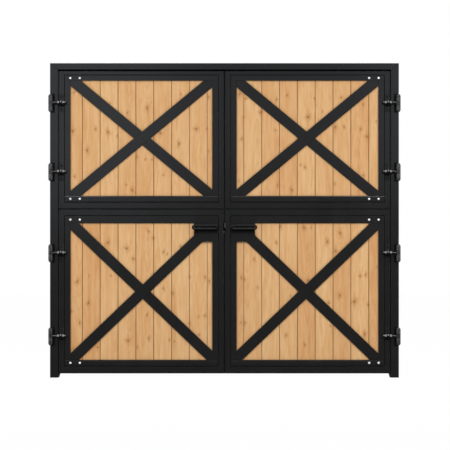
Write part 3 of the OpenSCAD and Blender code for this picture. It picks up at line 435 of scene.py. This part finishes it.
knotPlaces = {  # across and up in metres, radius in mm
    "upper_left": [
        (-1.112, 2.109, 5.5), (-1.122, 1.825, 8), (-.953, 1.838, 5.5), (-.861, 1.815, 8), (-1.015, 1.681, 8),
        (-1.107, 1.488, 5.5), (-.719, 1.959, 5.5), (-.571, 1.994, 8), (-.474, 1.809, 8), (-.337, 1.729, 8),
        (-.323, 2.097, 4), (-.118, 2.075, 5.5), (-.209, 1.839, 8), (-.115, 1.674, 4), (-.647, 1.634, 5.5),
        (-.583, 1.614, 4), (-.536, 1.614, 4), (-.682, 1.386, 8), (-.793, 1.790, 4), (-.847, 2.029, 4),
        (-.131, 1.840, 4), (-.450, 1.498, 4), (-.727, 1.427, 4)],
    "upper_right": [
        (.114, 2.100, 8), (.157, 2.065, 5.5), (.267, 1.963, 8), (.386, 2.057, 5.5), (.464, 2.088, 5.5),
        (.619, 1.928, 10), (.128, 1.767, 5.5), (.141, 1.924, 4), (.376, 1.830, 4), (.563, 1.573, 4),
        (.596, 1.556, 5.5), (.498, 1.387, 8), (.394, 1.422, 5.5), (.820, 1.853, 8), (.885, 1.853, 5.5),
        (1.008, 1.838, 5.5), (1.055, 1.783, 8), (.864, 2.071, 5.5), (1.025, 2.022, 5.5), (1.124, 1.896, 4),
        (1.029, 1.497, 5.5), (.817, 1.434, 4), (.666, 2.066, 4), (.725, 1.967, 4), (.106, 1.454, 4)],
    "lower_left": [
        (-.861, .998, 8), (-.562, 1.083, 5.5), (-.526, 1.032, 5.5), (-.723, .956, 8), (-.675, .879, 5.5),
        (-1.088, .711, 8), (-1.001, .754, 4), (-1.006, .552, 8), (-1.131, .490, 5.5), (-1.070, .405, 5.5),
        (-.939, .225, 5.5), (-1.116, .209, 5.5), (-.713, .274, 8), (-.560, .290, 5.5), (-.644, .225, 4),
        (-.572, .464, 5.5), (-.451, .930, 5.5), (-.422, .914, 4), (-.324, .970, 5.5), (-.451, .660, 5.5),
        (-.382, .623, 5.5), (-.408, .278, 4), (-.372, .267, 4), (-.259, .403, 5.5), (-.144, .742, 5.5),
        (-.112, .714, 5.5), (-.144, .457, 5.5), (-.192, .451, 4), (-.188, .318, 4), (-.838, .754, 4),
        (-.257, .742, 4)],
    "lower_right": [
        (.414, 1.117, 5.5), (.589, 1.109, 8), (.642, 1.113, 4), (.856, 1.069, 8), (.761, 1.006, 8),
        (.823, .936, 8), (.618, .720, 8), (.384, 1.000, 5.5), (.221, .875, 5.5), (.124, .740, 5.5),
        (.147, .726, 5.5), (.150, .403, 5.5), (.246, .665, 4), (1.003, .752, 5.5), (1.045, .762, 5.5),
        (.853, .607, 8), (.961, .562, 10), (1.062, .539, 5.5), (.771, .552, 5.5), (1.037, .322, 8),
        (.455, .313, 5.5), (.593, .244, 5.5), (.489, .605, 4), (1.130, .819, 4), (.783, .383, 4),
        (.121, .407, 4)],
}


def plankProfile(x0, x1, yFront, yBack, s):
    # one way round the plank: across the crowned face, chamfer, down one edge, across the rear and up the other edge
    c = s["chamfer"]
    n = max(int(round((x1 - x0 - 2 * c) / s["faceStep"])), 4)
    face = np.linspace(x0 + c, x1 - c, n + 1)
    u = (face - (x0 + x1) / 2) / (x1 - x0) * 2
    rear = np.linspace(x1 - c, x0 + c, n // 2 + 1)
    deep = yBack - yFront
    edge = np.array([c * .5, c, deep * .35, deep * .65, deep - c, deep - c * .5])
    across = np.array([c * .5, c, c, c, c, c * .5])
    px = np.concatenate([face, x1 - c + across, rear, x0 + c - across])
    py = np.concatenate([yFront + s["crown"] * u * u, yFront + edge, np.full(len(rear), yBack), yFront + edge[::-1]])
    groove = np.concatenate([np.zeros(n + 1), [.6, 1, 1, 1, 1, .6], np.zeros(len(rear)), [.6, 1, 1, 1, 1, .6]])
    return px, py, groove


def slowWave(z, rng, size, waves):
    # sum of a few long sine waves along the plank
    k = np.arange(1, waves + 1)[:, None]
    phase = rng.uniform(0, 2 * np.pi, (waves, 1))
    return size * (np.sin(z[None, :] * k * 1.7 + phase) / k).sum(0)


def plankFields(x, y, z, zRow, rng, knots, s):
    # ring count is the distance from a wandering pith line over the ring gap, pushed aside round each knot;
    # the knot value is the distance to the nearest knot over its radius, stretched along the grain
    middle = (x.min() + x.max()) / 2
    pithX = middle + rng.uniform(-.05, .05) + slowWave(zRow, rng, .006, 3)[:, None]
    tilt = rng.uniform(-.03, .03)
    pithY = .02 + rng.uniform(.02, .10) + tilt * (zRow - zRow.mean())[:, None] + slowWave(zRow, rng, .006, 4)[:, None]
    ring = np.hypot(x - pithX, y - pithY) / s["ringGap"] + slowWave(zRow, rng, .25, 6)[:, None]
    near = np.full(x.shape, 9.0)
    for kx, kz, r in knots:  # a handful for each plank
        r = r * .001
        du, dz = (x - kx) / r, (z - kz) / r
        pushed = np.exp(-(du / s["pushWide"]) ** 2 - (dz / s["pushTall"]) ** 2)
        ring = ring + s["knotPush"] * r / s["knotUsual"] * pushed
        a, phase = np.arctan2(dz, du), rng.uniform(0, 6, 2)
        lump = 1 + .16 * np.sin(2 * a + phase[0]) + .12 * np.sin(3 * a + phase[1])
        near = np.minimum(near, np.hypot(du, dz / s["knotTall"]) * lump)
        near = np.minimum(near, np.hypot(du * s["tailWide"], dz / s["tailTall"]) + s["tailFrom"])
    return ring, near


def paintBarShade(x, z, lo, hi, leaf, s):
    # painted shade along the flat bars: it fades out with the distance to the nearest edge of the field or of the two
    # braces
    level = leaf.split("_")[0]
    low, high, shift, lean = s["field"][level]
    x0, x1, z0, z1 = lo.x + s["fieldSide"], hi.x - s["fieldSide"], lo.z + low, hi.z - high
    cx, cz = (x0 + x1) / 2 + (shift if leaf.endswith("left") else -shift), (z0 + z1) / 2
    turn = math.atan2(z1 - z0, x1 - x0) + math.radians(lean)
    away = np.minimum(np.minimum(x - x0, x1 - x), np.minimum(z - z0, z1 - z))
    for way in (-1, 1):
        across = np.abs((z - cz) * math.cos(turn) + way * (x - cx) * math.sin(turn)) - s["braceHalf"]
        away = np.minimum(away, np.abs(across))
    return np.exp(-np.maximum(away, 0) / s["barShadeFade"])


def plateShade(x, z, node, s):
    # painted shadow of a lock plate on the boards: full behind the plate, a bell curve of the way below its lower
    # edge
    lo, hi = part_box(node)
    inside = np.clip(1 + np.minimum(x - lo.x, hi.x - x) / s["plateSide"], 0, 1)
    return s["plateDark"] * inside * np.exp(-(np.maximum(lo.z - z, 0) / s["plateFade"]) ** 2)


def pocketShift(x, y, z, box, yFront, s):
    # how far the face drops into the bolt pocket: full depth inside the box, ramping to none just outside it
    x0, x1, z0, z1 = box
    out = np.maximum(np.maximum(x0 - x, x - x1), np.maximum(z0 - z, z - z1))
    inside = np.clip(1 - out / s["pocketRamp"], 0, 1)
    return np.maximum(yFront + s["pocketDepth"] * inside - y, 0) * (inside > 0)


def makeBoards(leaf, s):
    node = leaf + "_boards"
    lo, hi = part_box(node)
    tubeLow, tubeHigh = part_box(leaf + "_leaf_frame")
    side = "left" if leaf.endswith("left") else "right"
    step = s["pitch"] if side == "left" else -s["pitch"]
    joints = [s["firstJoint"][side] + step * i for i in range(s["jointCount"])]
    edges = sorted([lo.x, hi.x] + joints)
    zRow = np.linspace(lo.z, hi.z, int(round((hi.z - lo.z) / s["rowStep"])) + 1)
    rng = np.random.default_rng(s["firstSeed"] + leafNames.index(leaf))
    stacks, fields = [], dict(ring=[], knot=[], tone=[], edge=[], paintedShade=[], barShade=[])
    for i in range(len(edges) - 1):
        x0 = edges[i] + (s["gap"] / 2 if i else 0)
        x1 = edges[i + 1] - (s["gap"] / 2 if i < len(edges) - 2 else 0)
        px, py, groove = plankProfile(x0, x1, lo.y, hi.y, s)
        size = (len(zRow), len(px))
        x = np.broadcast_to(px, size)
        y = np.broadcast_to(py, size)
        z = np.broadcast_to(zRow[:, None], size)
        mine = [k for k in knotPlaces[leaf] if x0 - s["knotReach"] < k[0] < x1 + s["knotReach"]]
        ring, near = plankFields(x, y, z, zRow, rng, mine, s)
        rim = np.minimum(np.minimum(x - lo.x, hi.x - x), np.minimum(z - lo.z, hi.z - z))
        front = y < (lo.y + hi.y) / 2  # braces and lock plates are on the front only
        barShade = paintBarShade(x, z, tubeLow, tubeHigh, leaf, s) * front
        paintedShade = np.clip(2 - rim / s["rimDark"], 0, 1)  # painted shade: black under the tubes, under the plates and in the bolt pockets
        if leaf in pocketBoxes:
            paintedShade = np.maximum(paintedShade, plateShade(x, z, side + "_lock_plate", s) * front)
            sink = pocketShift(x, y, z, pocketBoxes[leaf], lo.y, s)
            y = y + sink
            paintedShade = np.maximum(paintedShade, np.clip(sink / s["pocketDepth"] * 3, 0, 1))
        stacks.append(np.stack([x, y, z], -1))
        for key, value in (("ring", ring), ("knot", near), ("edge", np.broadcast_to(groove, size)), ("paintedShade", paintedShade),
                           ("barShade", barShade)):
            fields[key].append(value.ravel())
        fields["tone"].append(np.full(x.size, rng.uniform(0, 1)))
    obj = addPiece(leaf + "_planks", stacks, finishes["pine"], leaf + "_leaf", 25, fields)
    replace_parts(obj, node)
    print("stage: planks of", leaf, len(obj.data.polygons), "faces")


for leafName in leafNames:
    makeBoards(leafName, plankSizes)


# rolled thread on the hinge arms

threadSizes = dict(core=.0088, crest=.0103, pitch=.0025, inner=1.2695, outer=1.2376, y=-.044, around=40, along=110,
                   fade=.002)
hingeHeights = {"lower": (.305017, .920008), "upper": (1.519997, 2.030022)}


def makeThreads(leaf, s):
    # radius rises and falls as a triangle wave of the distance along the arm less the turn: one helical ridge
    sign = -1 if leaf.endswith("left") else 1
    turn = np.linspace(0, 2 * np.pi, s["around"], endpoint=False)
    run = np.linspace(s["inner"], s["outer"], s["along"])
    t, a = np.meshgrid(run, turn, indexing="ij")
    wave = np.abs(((t / s["pitch"] - a / (2 * np.pi)) % 1) * 2 - 1)
    fade = np.clip(np.minimum(t - s["outer"], s["inner"] - t) / s["fade"], 0, 1)
    r = s["core"] + (s["crest"] - s["core"]) * wave * fade
    stacks = [np.stack([sign * t, s["y"] + r * np.cos(a), h + r * np.sin(a)], -1)
              for h in hingeHeights[leaf.split("_")[0]]]
    addPiece(leaf + "_arm_threads", stacks, finishes["arm_black"], leaf + "_leaf", 35)


for leafName in leafNames:
    makeThreads(leafName, threadSizes)
print("stage: arm threads made")


# hinge plates, knuckles and lugs

hingeSizes = dict(
    axisX=1.285, axisY=-.044, knuckleR=.017, knuckleLow=.015, knuckleHigh=.056, roundOut=.002, roundIn=.0008,
    webIn=.012, webOut=.005, webDeep=.021, around=96,
    plateFront=-.026, plateBack=-.020, plateR=.008, plateEdge=.0016, cornerSteps=9,
    bracketX=(1.254, 1.290), bracketHalf=.070, saddleX=(1.1845, 1.2225), saddleHalf=.064,
    lugX=(1.200, 1.222), lugR=.0175, lugRound=.007, lugWebX=(1.204, 1.218), lugWebHalf=.012,
    padX=(1.186, 1.2215), padHalf=.020, padDrop=.007)
webSizes = dict(hingeSizes, plateFront=-.044, plateBack=-.022, plateR=.003, plateEdge=.001)
shadowSheetSizes = dict(hingeSizes, plateFront=-.0275, plateBack=-.0255, plateR=.006, plateEdge=.0008)  # dark sheet under the lug, painted shadow of the arm and nuts


def quarter(n):
    return np.linspace(0, np.pi / 2, n)


def onSide(sign, ends):
    # two distances from the middle, as the lower and the higher x on one side
    return sorted(sign * v for v in ends)


def plateStack(x0, x1, z, half, s):
    # loops of a rounded rectangle: square at the back, drawn in by a quarter circle at the front edge
    corner = np.repeat(np.array([[1, 1], [-1, 1], [-1, -1], [1, -1]]), s["cornerSteps"], 0)
    way = (quarter(s["cornerSteps"])[None, :] + np.arange(4)[:, None] * np.pi / 2).ravel()
    middle = np.array([(x0 + x1) / 2, z]) + corner * np.array([(x1 - x0) / 2 - s["plateR"], half - s["plateR"]])
    q = quarter(7)
    inset = np.concatenate([[0], s["plateEdge"] * (1 - np.cos(q))])
    y = np.concatenate([[s["plateBack"]], s["plateFront"] + s["plateEdge"] * (1 - np.sin(q))])
    reach = (s["plateR"] - inset)[:, None]
    x = middle[:, 0] + reach * np.cos(way)
    return np.stack([x, np.broadcast_to(y[:, None], x.shape), middle[:, 1] + reach * np.sin(way)], -1)


def knuckleStack(sign, z, end, s):
    # outline round the hinge axis: the knuckle's circle, or the web where that reaches further, drawn in at both ends
    a = np.linspace(0, 2 * np.pi, s["around"], endpoint=False)
    side = np.where(np.cos(a) > 0, s["webIn"], s["webOut"]) / np.maximum(np.abs(np.cos(a)), 1e-6)
    web = np.where(np.sin(a) > 0, np.minimum(s["webDeep"] / np.maximum(np.sin(a), 1e-6), side), 0)
    outline = np.maximum(s["knuckleR"], web)
    q = quarter(7)
    inset = np.concatenate([s["roundIn"] * (1 - np.sin(q)), s["roundOut"] * (1 - np.cos(q))])
    high = np.concatenate([s["knuckleLow"] + s["roundIn"] * (1 - np.cos(q)),
                           s["knuckleHigh"] - s["roundOut"] * (1 - np.sin(q))])
    r = outline[None, :] - inset[:, None]
    zz = np.broadcast_to(z + end * high[:, None], r.shape)
    return np.stack([sign * (s["axisX"] - r * np.cos(a)), s["axisY"] + r * np.sin(a), zz], -1)


def lugStack(sign, z, s):
    # turned boss on the arm's line: a full radius between two quarter rounds
    a = np.linspace(0, 2 * np.pi, s["around"], endpoint=False)
    q = quarter(9)
    c = s["lugRound"]
    run = np.concatenate([s["lugX"][0] + c * (1 - np.cos(q)), s["lugX"][1] - c * (1 - np.sin(q))])
    r = np.concatenate([s["lugR"] - c * (1 - np.sin(q)), s["lugR"] - c * (1 - np.cos(q))])[:, None]
    return np.stack([np.broadcast_to(sign * run[:, None], (len(run), len(a))),
                     s["axisY"] + r * np.cos(a), z + r * np.sin(a)], -1)


def makeHinges(side, s):
    sign = -1 if side == "left" else 1
    heights = hingeHeights["lower"] + hingeHeights["upper"]
    plates = [plateStack(*onSide(sign, s["bracketX"]), z, s["bracketHalf"], s) for z in heights]
    knuckles = [knuckleStack(sign, z, end, s) for z in heights for end in (-1, 1)]
    node, slotName = side + "_hinge_brackets", "hinge_black"
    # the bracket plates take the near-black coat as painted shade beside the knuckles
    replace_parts(addPiece(side + "_bracket_plates", plates, finishes["bracket_black"], "frame", 30), node)
    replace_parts(addPiece(side + "_knuckles", knuckles, finishes["hinge_black"], "frame", 35), node)
    for level in ("lower", "upper"):
        leaf, heights = level + "_" + side, hingeHeights[level]
        node, body = leaf + "_hinge_saddles", leaf + "_leaf"
        plates = [plateStack(*onSide(sign, s["saddleX"]), z, s["saddleHalf"], s) for z in heights]
        lugs = [lugStack(sign, z, s) for z in heights]
        lugs += [plateStack(*onSide(sign, s["lugWebX"]), z, s["lugWebHalf"], webSizes) for z in heights]
        # dark sheets under the lugs stand in for the shadow of the arm and nuts
        shadowSheets = [plateStack(*onSide(sign, s["padX"]), z - s["padDrop"], s["padHalf"], shadowSheetSizes) for z in heights]
        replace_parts(addPiece(leaf + "_saddle_plates", plates, finishes["plate_black"], body, 30), node)
        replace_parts(addPiece(leaf + "_lugs", lugs, finishes["nut_black"], body, 35), node)
        addPiece(leaf + "_lug_shadow_sheets", shadowSheets, finishes["bracket_black"], body, 30)


for sideName in ("left", "right"):
    makeHinges(sideName, hingeSizes)
print("stage: hinges made")


# weld beads and thin plates in the mitres

weldSizes = dict(
    half=.0013, proud=.00018, deep=.0012, ripple=.003, rows=90, around=12, slit=.0008, plateGap=.00001, plateIn=.012,
    taper=.003, tip=.15, rippleShare=.35,
    jamb=.060, headFace=.048, stile=.041,
    rails={"lower": (.052, .046), "upper": (.045, .030)})


def beadStack(start, end, yFace, out, s):
    # an ellipse carried from the outer to the inner corner, tapering at both ends and rippled along its run
    a = np.linspace(0, 2 * np.pi, s["around"], endpoint=False)
    t = np.linspace(.01, .99, s["rows"])[:, None]
    along = np.array(end) - np.array(start)
    length = np.hypot(*along)
    normal = np.array([-along[1], along[0]]) / length
    taper = np.clip(np.minimum(t, 1 - t) * length / s["taper"], s["tip"], 1)
    across = s["half"] * taper * np.cos(a)
    crown = s["proud"] * (1 + s["rippleShare"] * np.sin(2 * np.pi * t * length / s["ripple"]))
    lift = np.sin(a) * np.where(np.sin(a) > 0, crown, s["deep"])
    x = start[0] + along[0] * t + normal[0] * across
    z = start[1] + along[1] * t + normal[1] * across
    return np.stack([x, yFace + out * lift * taper, z], -1)


def cornerBeads(x, z, dx, dz, yFront, yBack, s):
    # a bead on the front and one on the back of a mitre that starts at the outer corner, and a thin plate in its slit
    shift = s["slit"] / 2 * np.sign(dz)
    start, end = (x, z + shift), (x + dx, z + dz + shift)
    half = s["slit"] / 2 - s["plateGap"]
    loop = np.array([[start[0], start[1] - half], [end[0], end[1] - half], [end[0], end[1] + half],
                     [start[0], start[1] + half]])
    plate = np.stack([np.insert(loop, 1, y, axis=1) for y in (yFront + s["plateIn"], yBack - s["plateIn"])])
    return [beadStack(start, end, yFront, -1, s), beadStack(start, end, yBack, 1, s), plate]


def makeWelds(s):
    lo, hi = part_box("head")
    stacks = cornerBeads(lo.x, hi.z, s["jamb"], -s["headFace"], lo.y, hi.y, s)
    stacks += cornerBeads(hi.x, hi.z, -s["jamb"], -s["headFace"], lo.y, hi.y, s)
    addPiece("frame_welds", stacks, finishes["frame_black"], "frame")
    for leaf in leafNames:
        lo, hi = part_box(leaf + "_leaf_frame")
        low, high = s["rails"][leaf.split("_")[0]]
        stacks = []
        for x, dx in ((lo.x, s["stile"]), (hi.x, -s["stile"])):
            stacks += cornerBeads(x, lo.z, dx, low, lo.y, hi.y, s)
            stacks += cornerBeads(x, hi.z, dx, -high, lo.y, hi.y, s)
        addPiece(leaf + "_welds", stacks, finishes["leaf_black"], leaf + "_leaf")


makeWelds(weldSizes)
print("stage: welds made")


# rubber bulb seals that close the joints; a near-black bulb in the head gap and dark sheets in the latch notches as
# painted shade

sealSizes = dict(
    spare=.0001, y=(.0020, .0114), half=.0042, rows=420, around=26, square=.35, meetReach=.0060, midReach=.0055,
    split={-1: 1.2455, 1: 1.2496},
    midInner={"upper_left": -.004, "upper_right": .00205, "lower_left": -.00205, "lower_right": .004},
    headX=1.2295, headZ=2.2720, headHalf=.0059, headRise=.0033, stopY=.0341)

rubbers = {
    "seal_rubber": dict(dark=(.0210, .0210, .0214), pale=(.0300, .0300, .0305), specular=.36),
    "meeting_rubber": dict(dark=(.0100, .0100, .0102), pale=(.0160, .0160, .0163), specular=.22),
    # near-black, as painted shade in the head gap and the latch notches
    "head_rubber": dict(dark=(.0014, .0014, .0015), pale=(.0028, .0028, .0029), specular=.02),
}


def makeRubber(name, c):
    m, t, bsdf = newMaterial(name)
    co = addNode(t, "ShaderNodeTexCoord", (-900, 0)).outputs["Object"]
    skin = placeGroup(t, coatSkin, Vector=co, Grain=1500.0)
    join(t, mixColour(t, skin.outputs["Mottle"], c["dark"], c["pale"]), bsdf.inputs["Base Color"])
    join(t, mathNode(t, "MULTIPLY_ADD", skin.outputs["Mottle"], .12, .66), bsdf.inputs["Roughness"])
    bsdf.inputs["Specular IOR Level"].default_value = c["specular"]
    addBump(t, bsdf, skin.outputs["Peel"], .15, .0003)
    return m


def bulbProfile(height, s):
    # half a squared-off ellipse on a flat foot: cosine and sine raised to a small power
    a = np.linspace(0, np.pi, s["around"])
    wide = s["half"] * np.sign(np.cos(a)) * np.abs(np.cos(a)) ** s["square"]
    return wide, np.abs(np.sin(a)) ** s["square"] * height


def makeSeal(leaf, s, rubber):
    # two straight bulbs, up the meeting edge and along the edge that faces the other pair, lapped in two layers
    sign = -1 if leaf.endswith("left") else 1
    lo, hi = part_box(leaf + "_leaf_frame")
    upper = leaf.startswith("upper")
    edgeX = hi.x if sign < 0 else lo.x
    edgeZ = lo.z if upper else hi.z
    dy, out = bulbProfile(s["meetReach"], s)
    split = s["split"][sign]
    ends = (split + s["spare"] / 2, hi.z) if upper else (lo.z, split - s["spare"] / 2)
    zz, dd = np.meshgrid(np.linspace(*ends, s["rows"]), dy, indexing="ij")
    layer = s["y"][0] if sign < 0 else s["y"][1]
    stack = np.stack([edgeX - sign * np.broadcast_to(out, zz.shape), layer + dd, zz], -1)
    addPiece(leaf + "_meeting_seal", [stack], rubber["meeting_rubber"], leaf + "_leaf")
    dy, out = bulbProfile(s["midReach"], s)
    inner = s["midInner"][leaf]
    ends = (lo.x, inner) if sign < 0 else (inner, hi.x)
    xx, dd = np.meshgrid(np.linspace(*ends, s["rows"]), dy, indexing="ij")
    layer, up = (s["y"][0], -1) if upper else (s["y"][1], 1)
    stack = np.stack([xx, layer + dd, edgeZ + up * np.broadcast_to(out, xx.shape)], -1)
    addPiece(leaf + "_seal", [stack], rubber["seal_rubber"], leaf + "_leaf")


def makeHeadSeal(s, rubber):
    # a flat near-black bulb along the front of the head's stop, half an ellipse on a foot, as painted shade in the
    # head gap
    a = np.linspace(0, np.pi, s["around"])
    xx, dz = np.meshgrid(np.linspace(-s["headX"], s["headX"], s["rows"]), s["headHalf"] * np.cos(a), indexing="ij")
    yy = s["stopY"] - np.broadcast_to(np.sin(a) * s["headRise"], xx.shape)
    addPiece("head_seal", [np.stack([xx, yy, s["headZ"] + dz], -1)], rubber["head_rubber"], "frame")


notchShadeSizes = dict(hingeSizes, plateFront=-.00605, plateBack=-.0058, plateR=.0004, plateEdge=.0001, x=(.0002, .0068),
                  z=(1.0712, 1.1438))


def makeNotchShade(side, s, rubber):
    # thin dark plate at the back of the notch in a lower leaf's meeting stile, behind the noses, as painted shade in
    # the notch
    sign = -1 if side == "left" else 1
    z0, z1 = s["z"]
    stack = plateStack(*onSide(sign, s["x"]), (z0 + z1) / 2, (z1 - z0) / 2, s)
    leaf = "lower_" + side
    addPiece(leaf + "_notch_liner", [stack], rubber["head_rubber"], leaf + "_leaf")


sealRubber = {key: makeRubber(key, look) for key, look in rubbers.items()}
for sideName in ("left", "right"):
    makeNotchShade(sideName, notchShadeSizes, sealRubber)
for leafName in leafNames:
    makeSeal(leafName, sealSizes, sealRubber)
makeHeadSeal(sealSizes, sealRubber)
print("stage: liners and seals made")


# finishes on the frame's own nodes

ownFinish = {  # by the end of the node's name
    "screws": "plate_black", "hinge_arms": "arm_black", "hinge_nuts": "nut_black", "pull": "pull_black",
    "lock_plate": "lock_black"}

for part in frame["record"]["subparts"]:
    name = part["material_slot"]
    for ending, other in ownFinish.items():
        name = other if part["node"].endswith(ending) else name
    for holder in frame["nodes"][part["node"]].material_slots:
        holder.material = finishes[name]
print("stage: finishes placed")


# studio

studio = dict(worldLight=.545, floorColour=(.82, .82, .82), floorGlow=.985, floorHalf=40,
              sheenColour=(.93, .98, 1.07))
lamps = {  # watts, place, aim, width and height
    "wideSheen": (42, (0, -8, 2.5), (0, 0, 2.5), 6.8, 2.0),
    "leftSheen": (28, (-1.6, -7.8, 2.25), (-1.6, 0, 2.25), 2.1, 2.2),
    "rightSheen": (15, (2.1, -7.6, 2.45), (2.1, 0, 2.45), 1.3, 2.0),
    "topLeft": (40, (-1.35, -5, 6.2), (-1.35, 0, 1.3), .5, .5),
    "topMiddle": (16, (0, -5, 6.2), (0, 0, 1.3), .5, .5),
    "topRight": (40, (1.35, -5, 6.2), (1.35, 0, 1.3), .5, .5),
    "sideLeft": (42, (-4.2, -2.9, 1.3), (0, 0, 1.3), .35, 2.4),
    "sideRight": (42, (4.2, -2.9, 1.3), (0, 0, 1.3), .35, 2.4),
    "backLeft": (55, (-1.6, 5.5, 4.6), (-.6, 0, 1.2), 1.6, 1.6),
    "backRight": (55, (1.6, 5.5, 4.6), (.6, 0, 1.2), 1.6, 1.6),
}
shot = dict(distance=30.0, aim=(.004, 0, 1.129), wide=3.33, sensor=36, clip=200)


def seenRay(tree):
    # 1 for rays from the camera, and for those that gloss and glass send on
    p = addNode(tree, "ShaderNodeLightPath")
    straight = mathNode(tree, "MAXIMUM", p.outputs["Is Camera Ray"], p.outputs["Is Glossy Ray"])
    return mathNode(tree, "MAXIMUM", straight, p.outputs["Is Transmission Ray"])


def makeWorld(c):
    w = bpy.data.worlds.new("studio")
    bpy.context.scene.world = w
    w.use_nodes = True
    t = w.node_tree
    t.nodes.clear()
    out = addNode(t, "ShaderNodeOutputWorld")
    lit = addNode(t, "ShaderNodeBackground")
    seen = addNode(t, "ShaderNodeBackground")
    lit.inputs["Color"].default_value = (1, 1, 1, 1)
    lit.inputs["Strength"].default_value = c["worldLight"]
    seen.inputs["Color"].default_value = (1, 1, 1, 1)
    seen.inputs["Strength"].default_value = 1.0
    mix = addNode(t, "ShaderNodeMixShader")
    join(t, seenRay(t), mix.inputs["Fac"])
    join(t, lit.outputs[0], mix.inputs[1])
    join(t, seen.outputs[0], mix.inputs[2])
    join(t, mix.outputs[0], out.inputs["Surface"])


def makeFloor(c):
    h = c["floorHalf"]
    mesh = bpy.data.meshes.new("floor")
    mesh.from_pydata([(-h, -h, 0), (h, -h, 0), (h, h, 0), (-h, h, 0)], [], [(0, 1, 2, 3)])
    obj = bpy.data.objects.new("floor", mesh)
    bpy.context.scene.collection.objects.link(obj)
    m = bpy.data.materials.new("paleFloor")
    m.use_nodes = True
    t = m.node_tree
    t.nodes.clear()
    out = addNode(t, "ShaderNodeOutputMaterial")
    matt = addNode(t, "ShaderNodeBsdfDiffuse")
    matt.inputs["Color"].default_value = (*c["floorColour"], 1)
    glow = addNode(t, "ShaderNodeEmission")
    glow.inputs["Strength"].default_value = 1.0
    mix = addNode(t, "ShaderNodeMixShader")
    join(t, mathNode(t, "MULTIPLY", seenRay(t), c["floorGlow"]), mix.inputs["Fac"])
    join(t, matt.outputs[0], mix.inputs[1])
    join(t, glow.outputs[0], mix.inputs[2])
    join(t, mix.outputs[0], out.inputs["Surface"])
    mesh.materials.append(m)


def aimAt(obj, place, aim):
    d = np.array(aim, float) - np.array(place, float)
    obj.location = place
    obj.rotation_euler = (math.atan2(math.hypot(d[0], d[1]), -d[2]), 0, math.atan2(d[1], d[0]) - math.pi / 2)


def makeLamp(name, power, place, aim, wide, high):
    lamp = bpy.data.lights.new(name, "AREA")
    lamp.energy = power
    lamp.color = studio["sheenColour"] if "Sheen" in name else (1, 1, 1)  # a cool sheen on the black
    lamp.shape = "RECTANGLE"
    lamp.size = wide
    lamp.size_y = high
    obj = bpy.data.objects.new(name, lamp)
    bpy.context.scene.collection.objects.link(obj)
    aimAt(obj, place, aim)


def makeCamera(c):
    cam = bpy.data.cameras.new("front")
    cam.sensor_width = c["sensor"]
    cam.lens = c["sensor"] * c["distance"] / c["wide"]
    cam.clip_end = c["clip"]
    obj = bpy.data.objects.new("front", cam)
    bpy.context.scene.collection.objects.link(obj)
    x, y, z = c["aim"]
    aimAt(obj, (x, y - c["distance"], z), c["aim"])
    bpy.context.scene.camera = obj


makeWorld(studio)
makeFloor(studio)
for lampName, settings in lamps.items():
    makeLamp(lampName, *settings)
makeCamera(shot)
bpy.context.scene.view_settings.view_transform = "Standard"
print("stage: studio set")
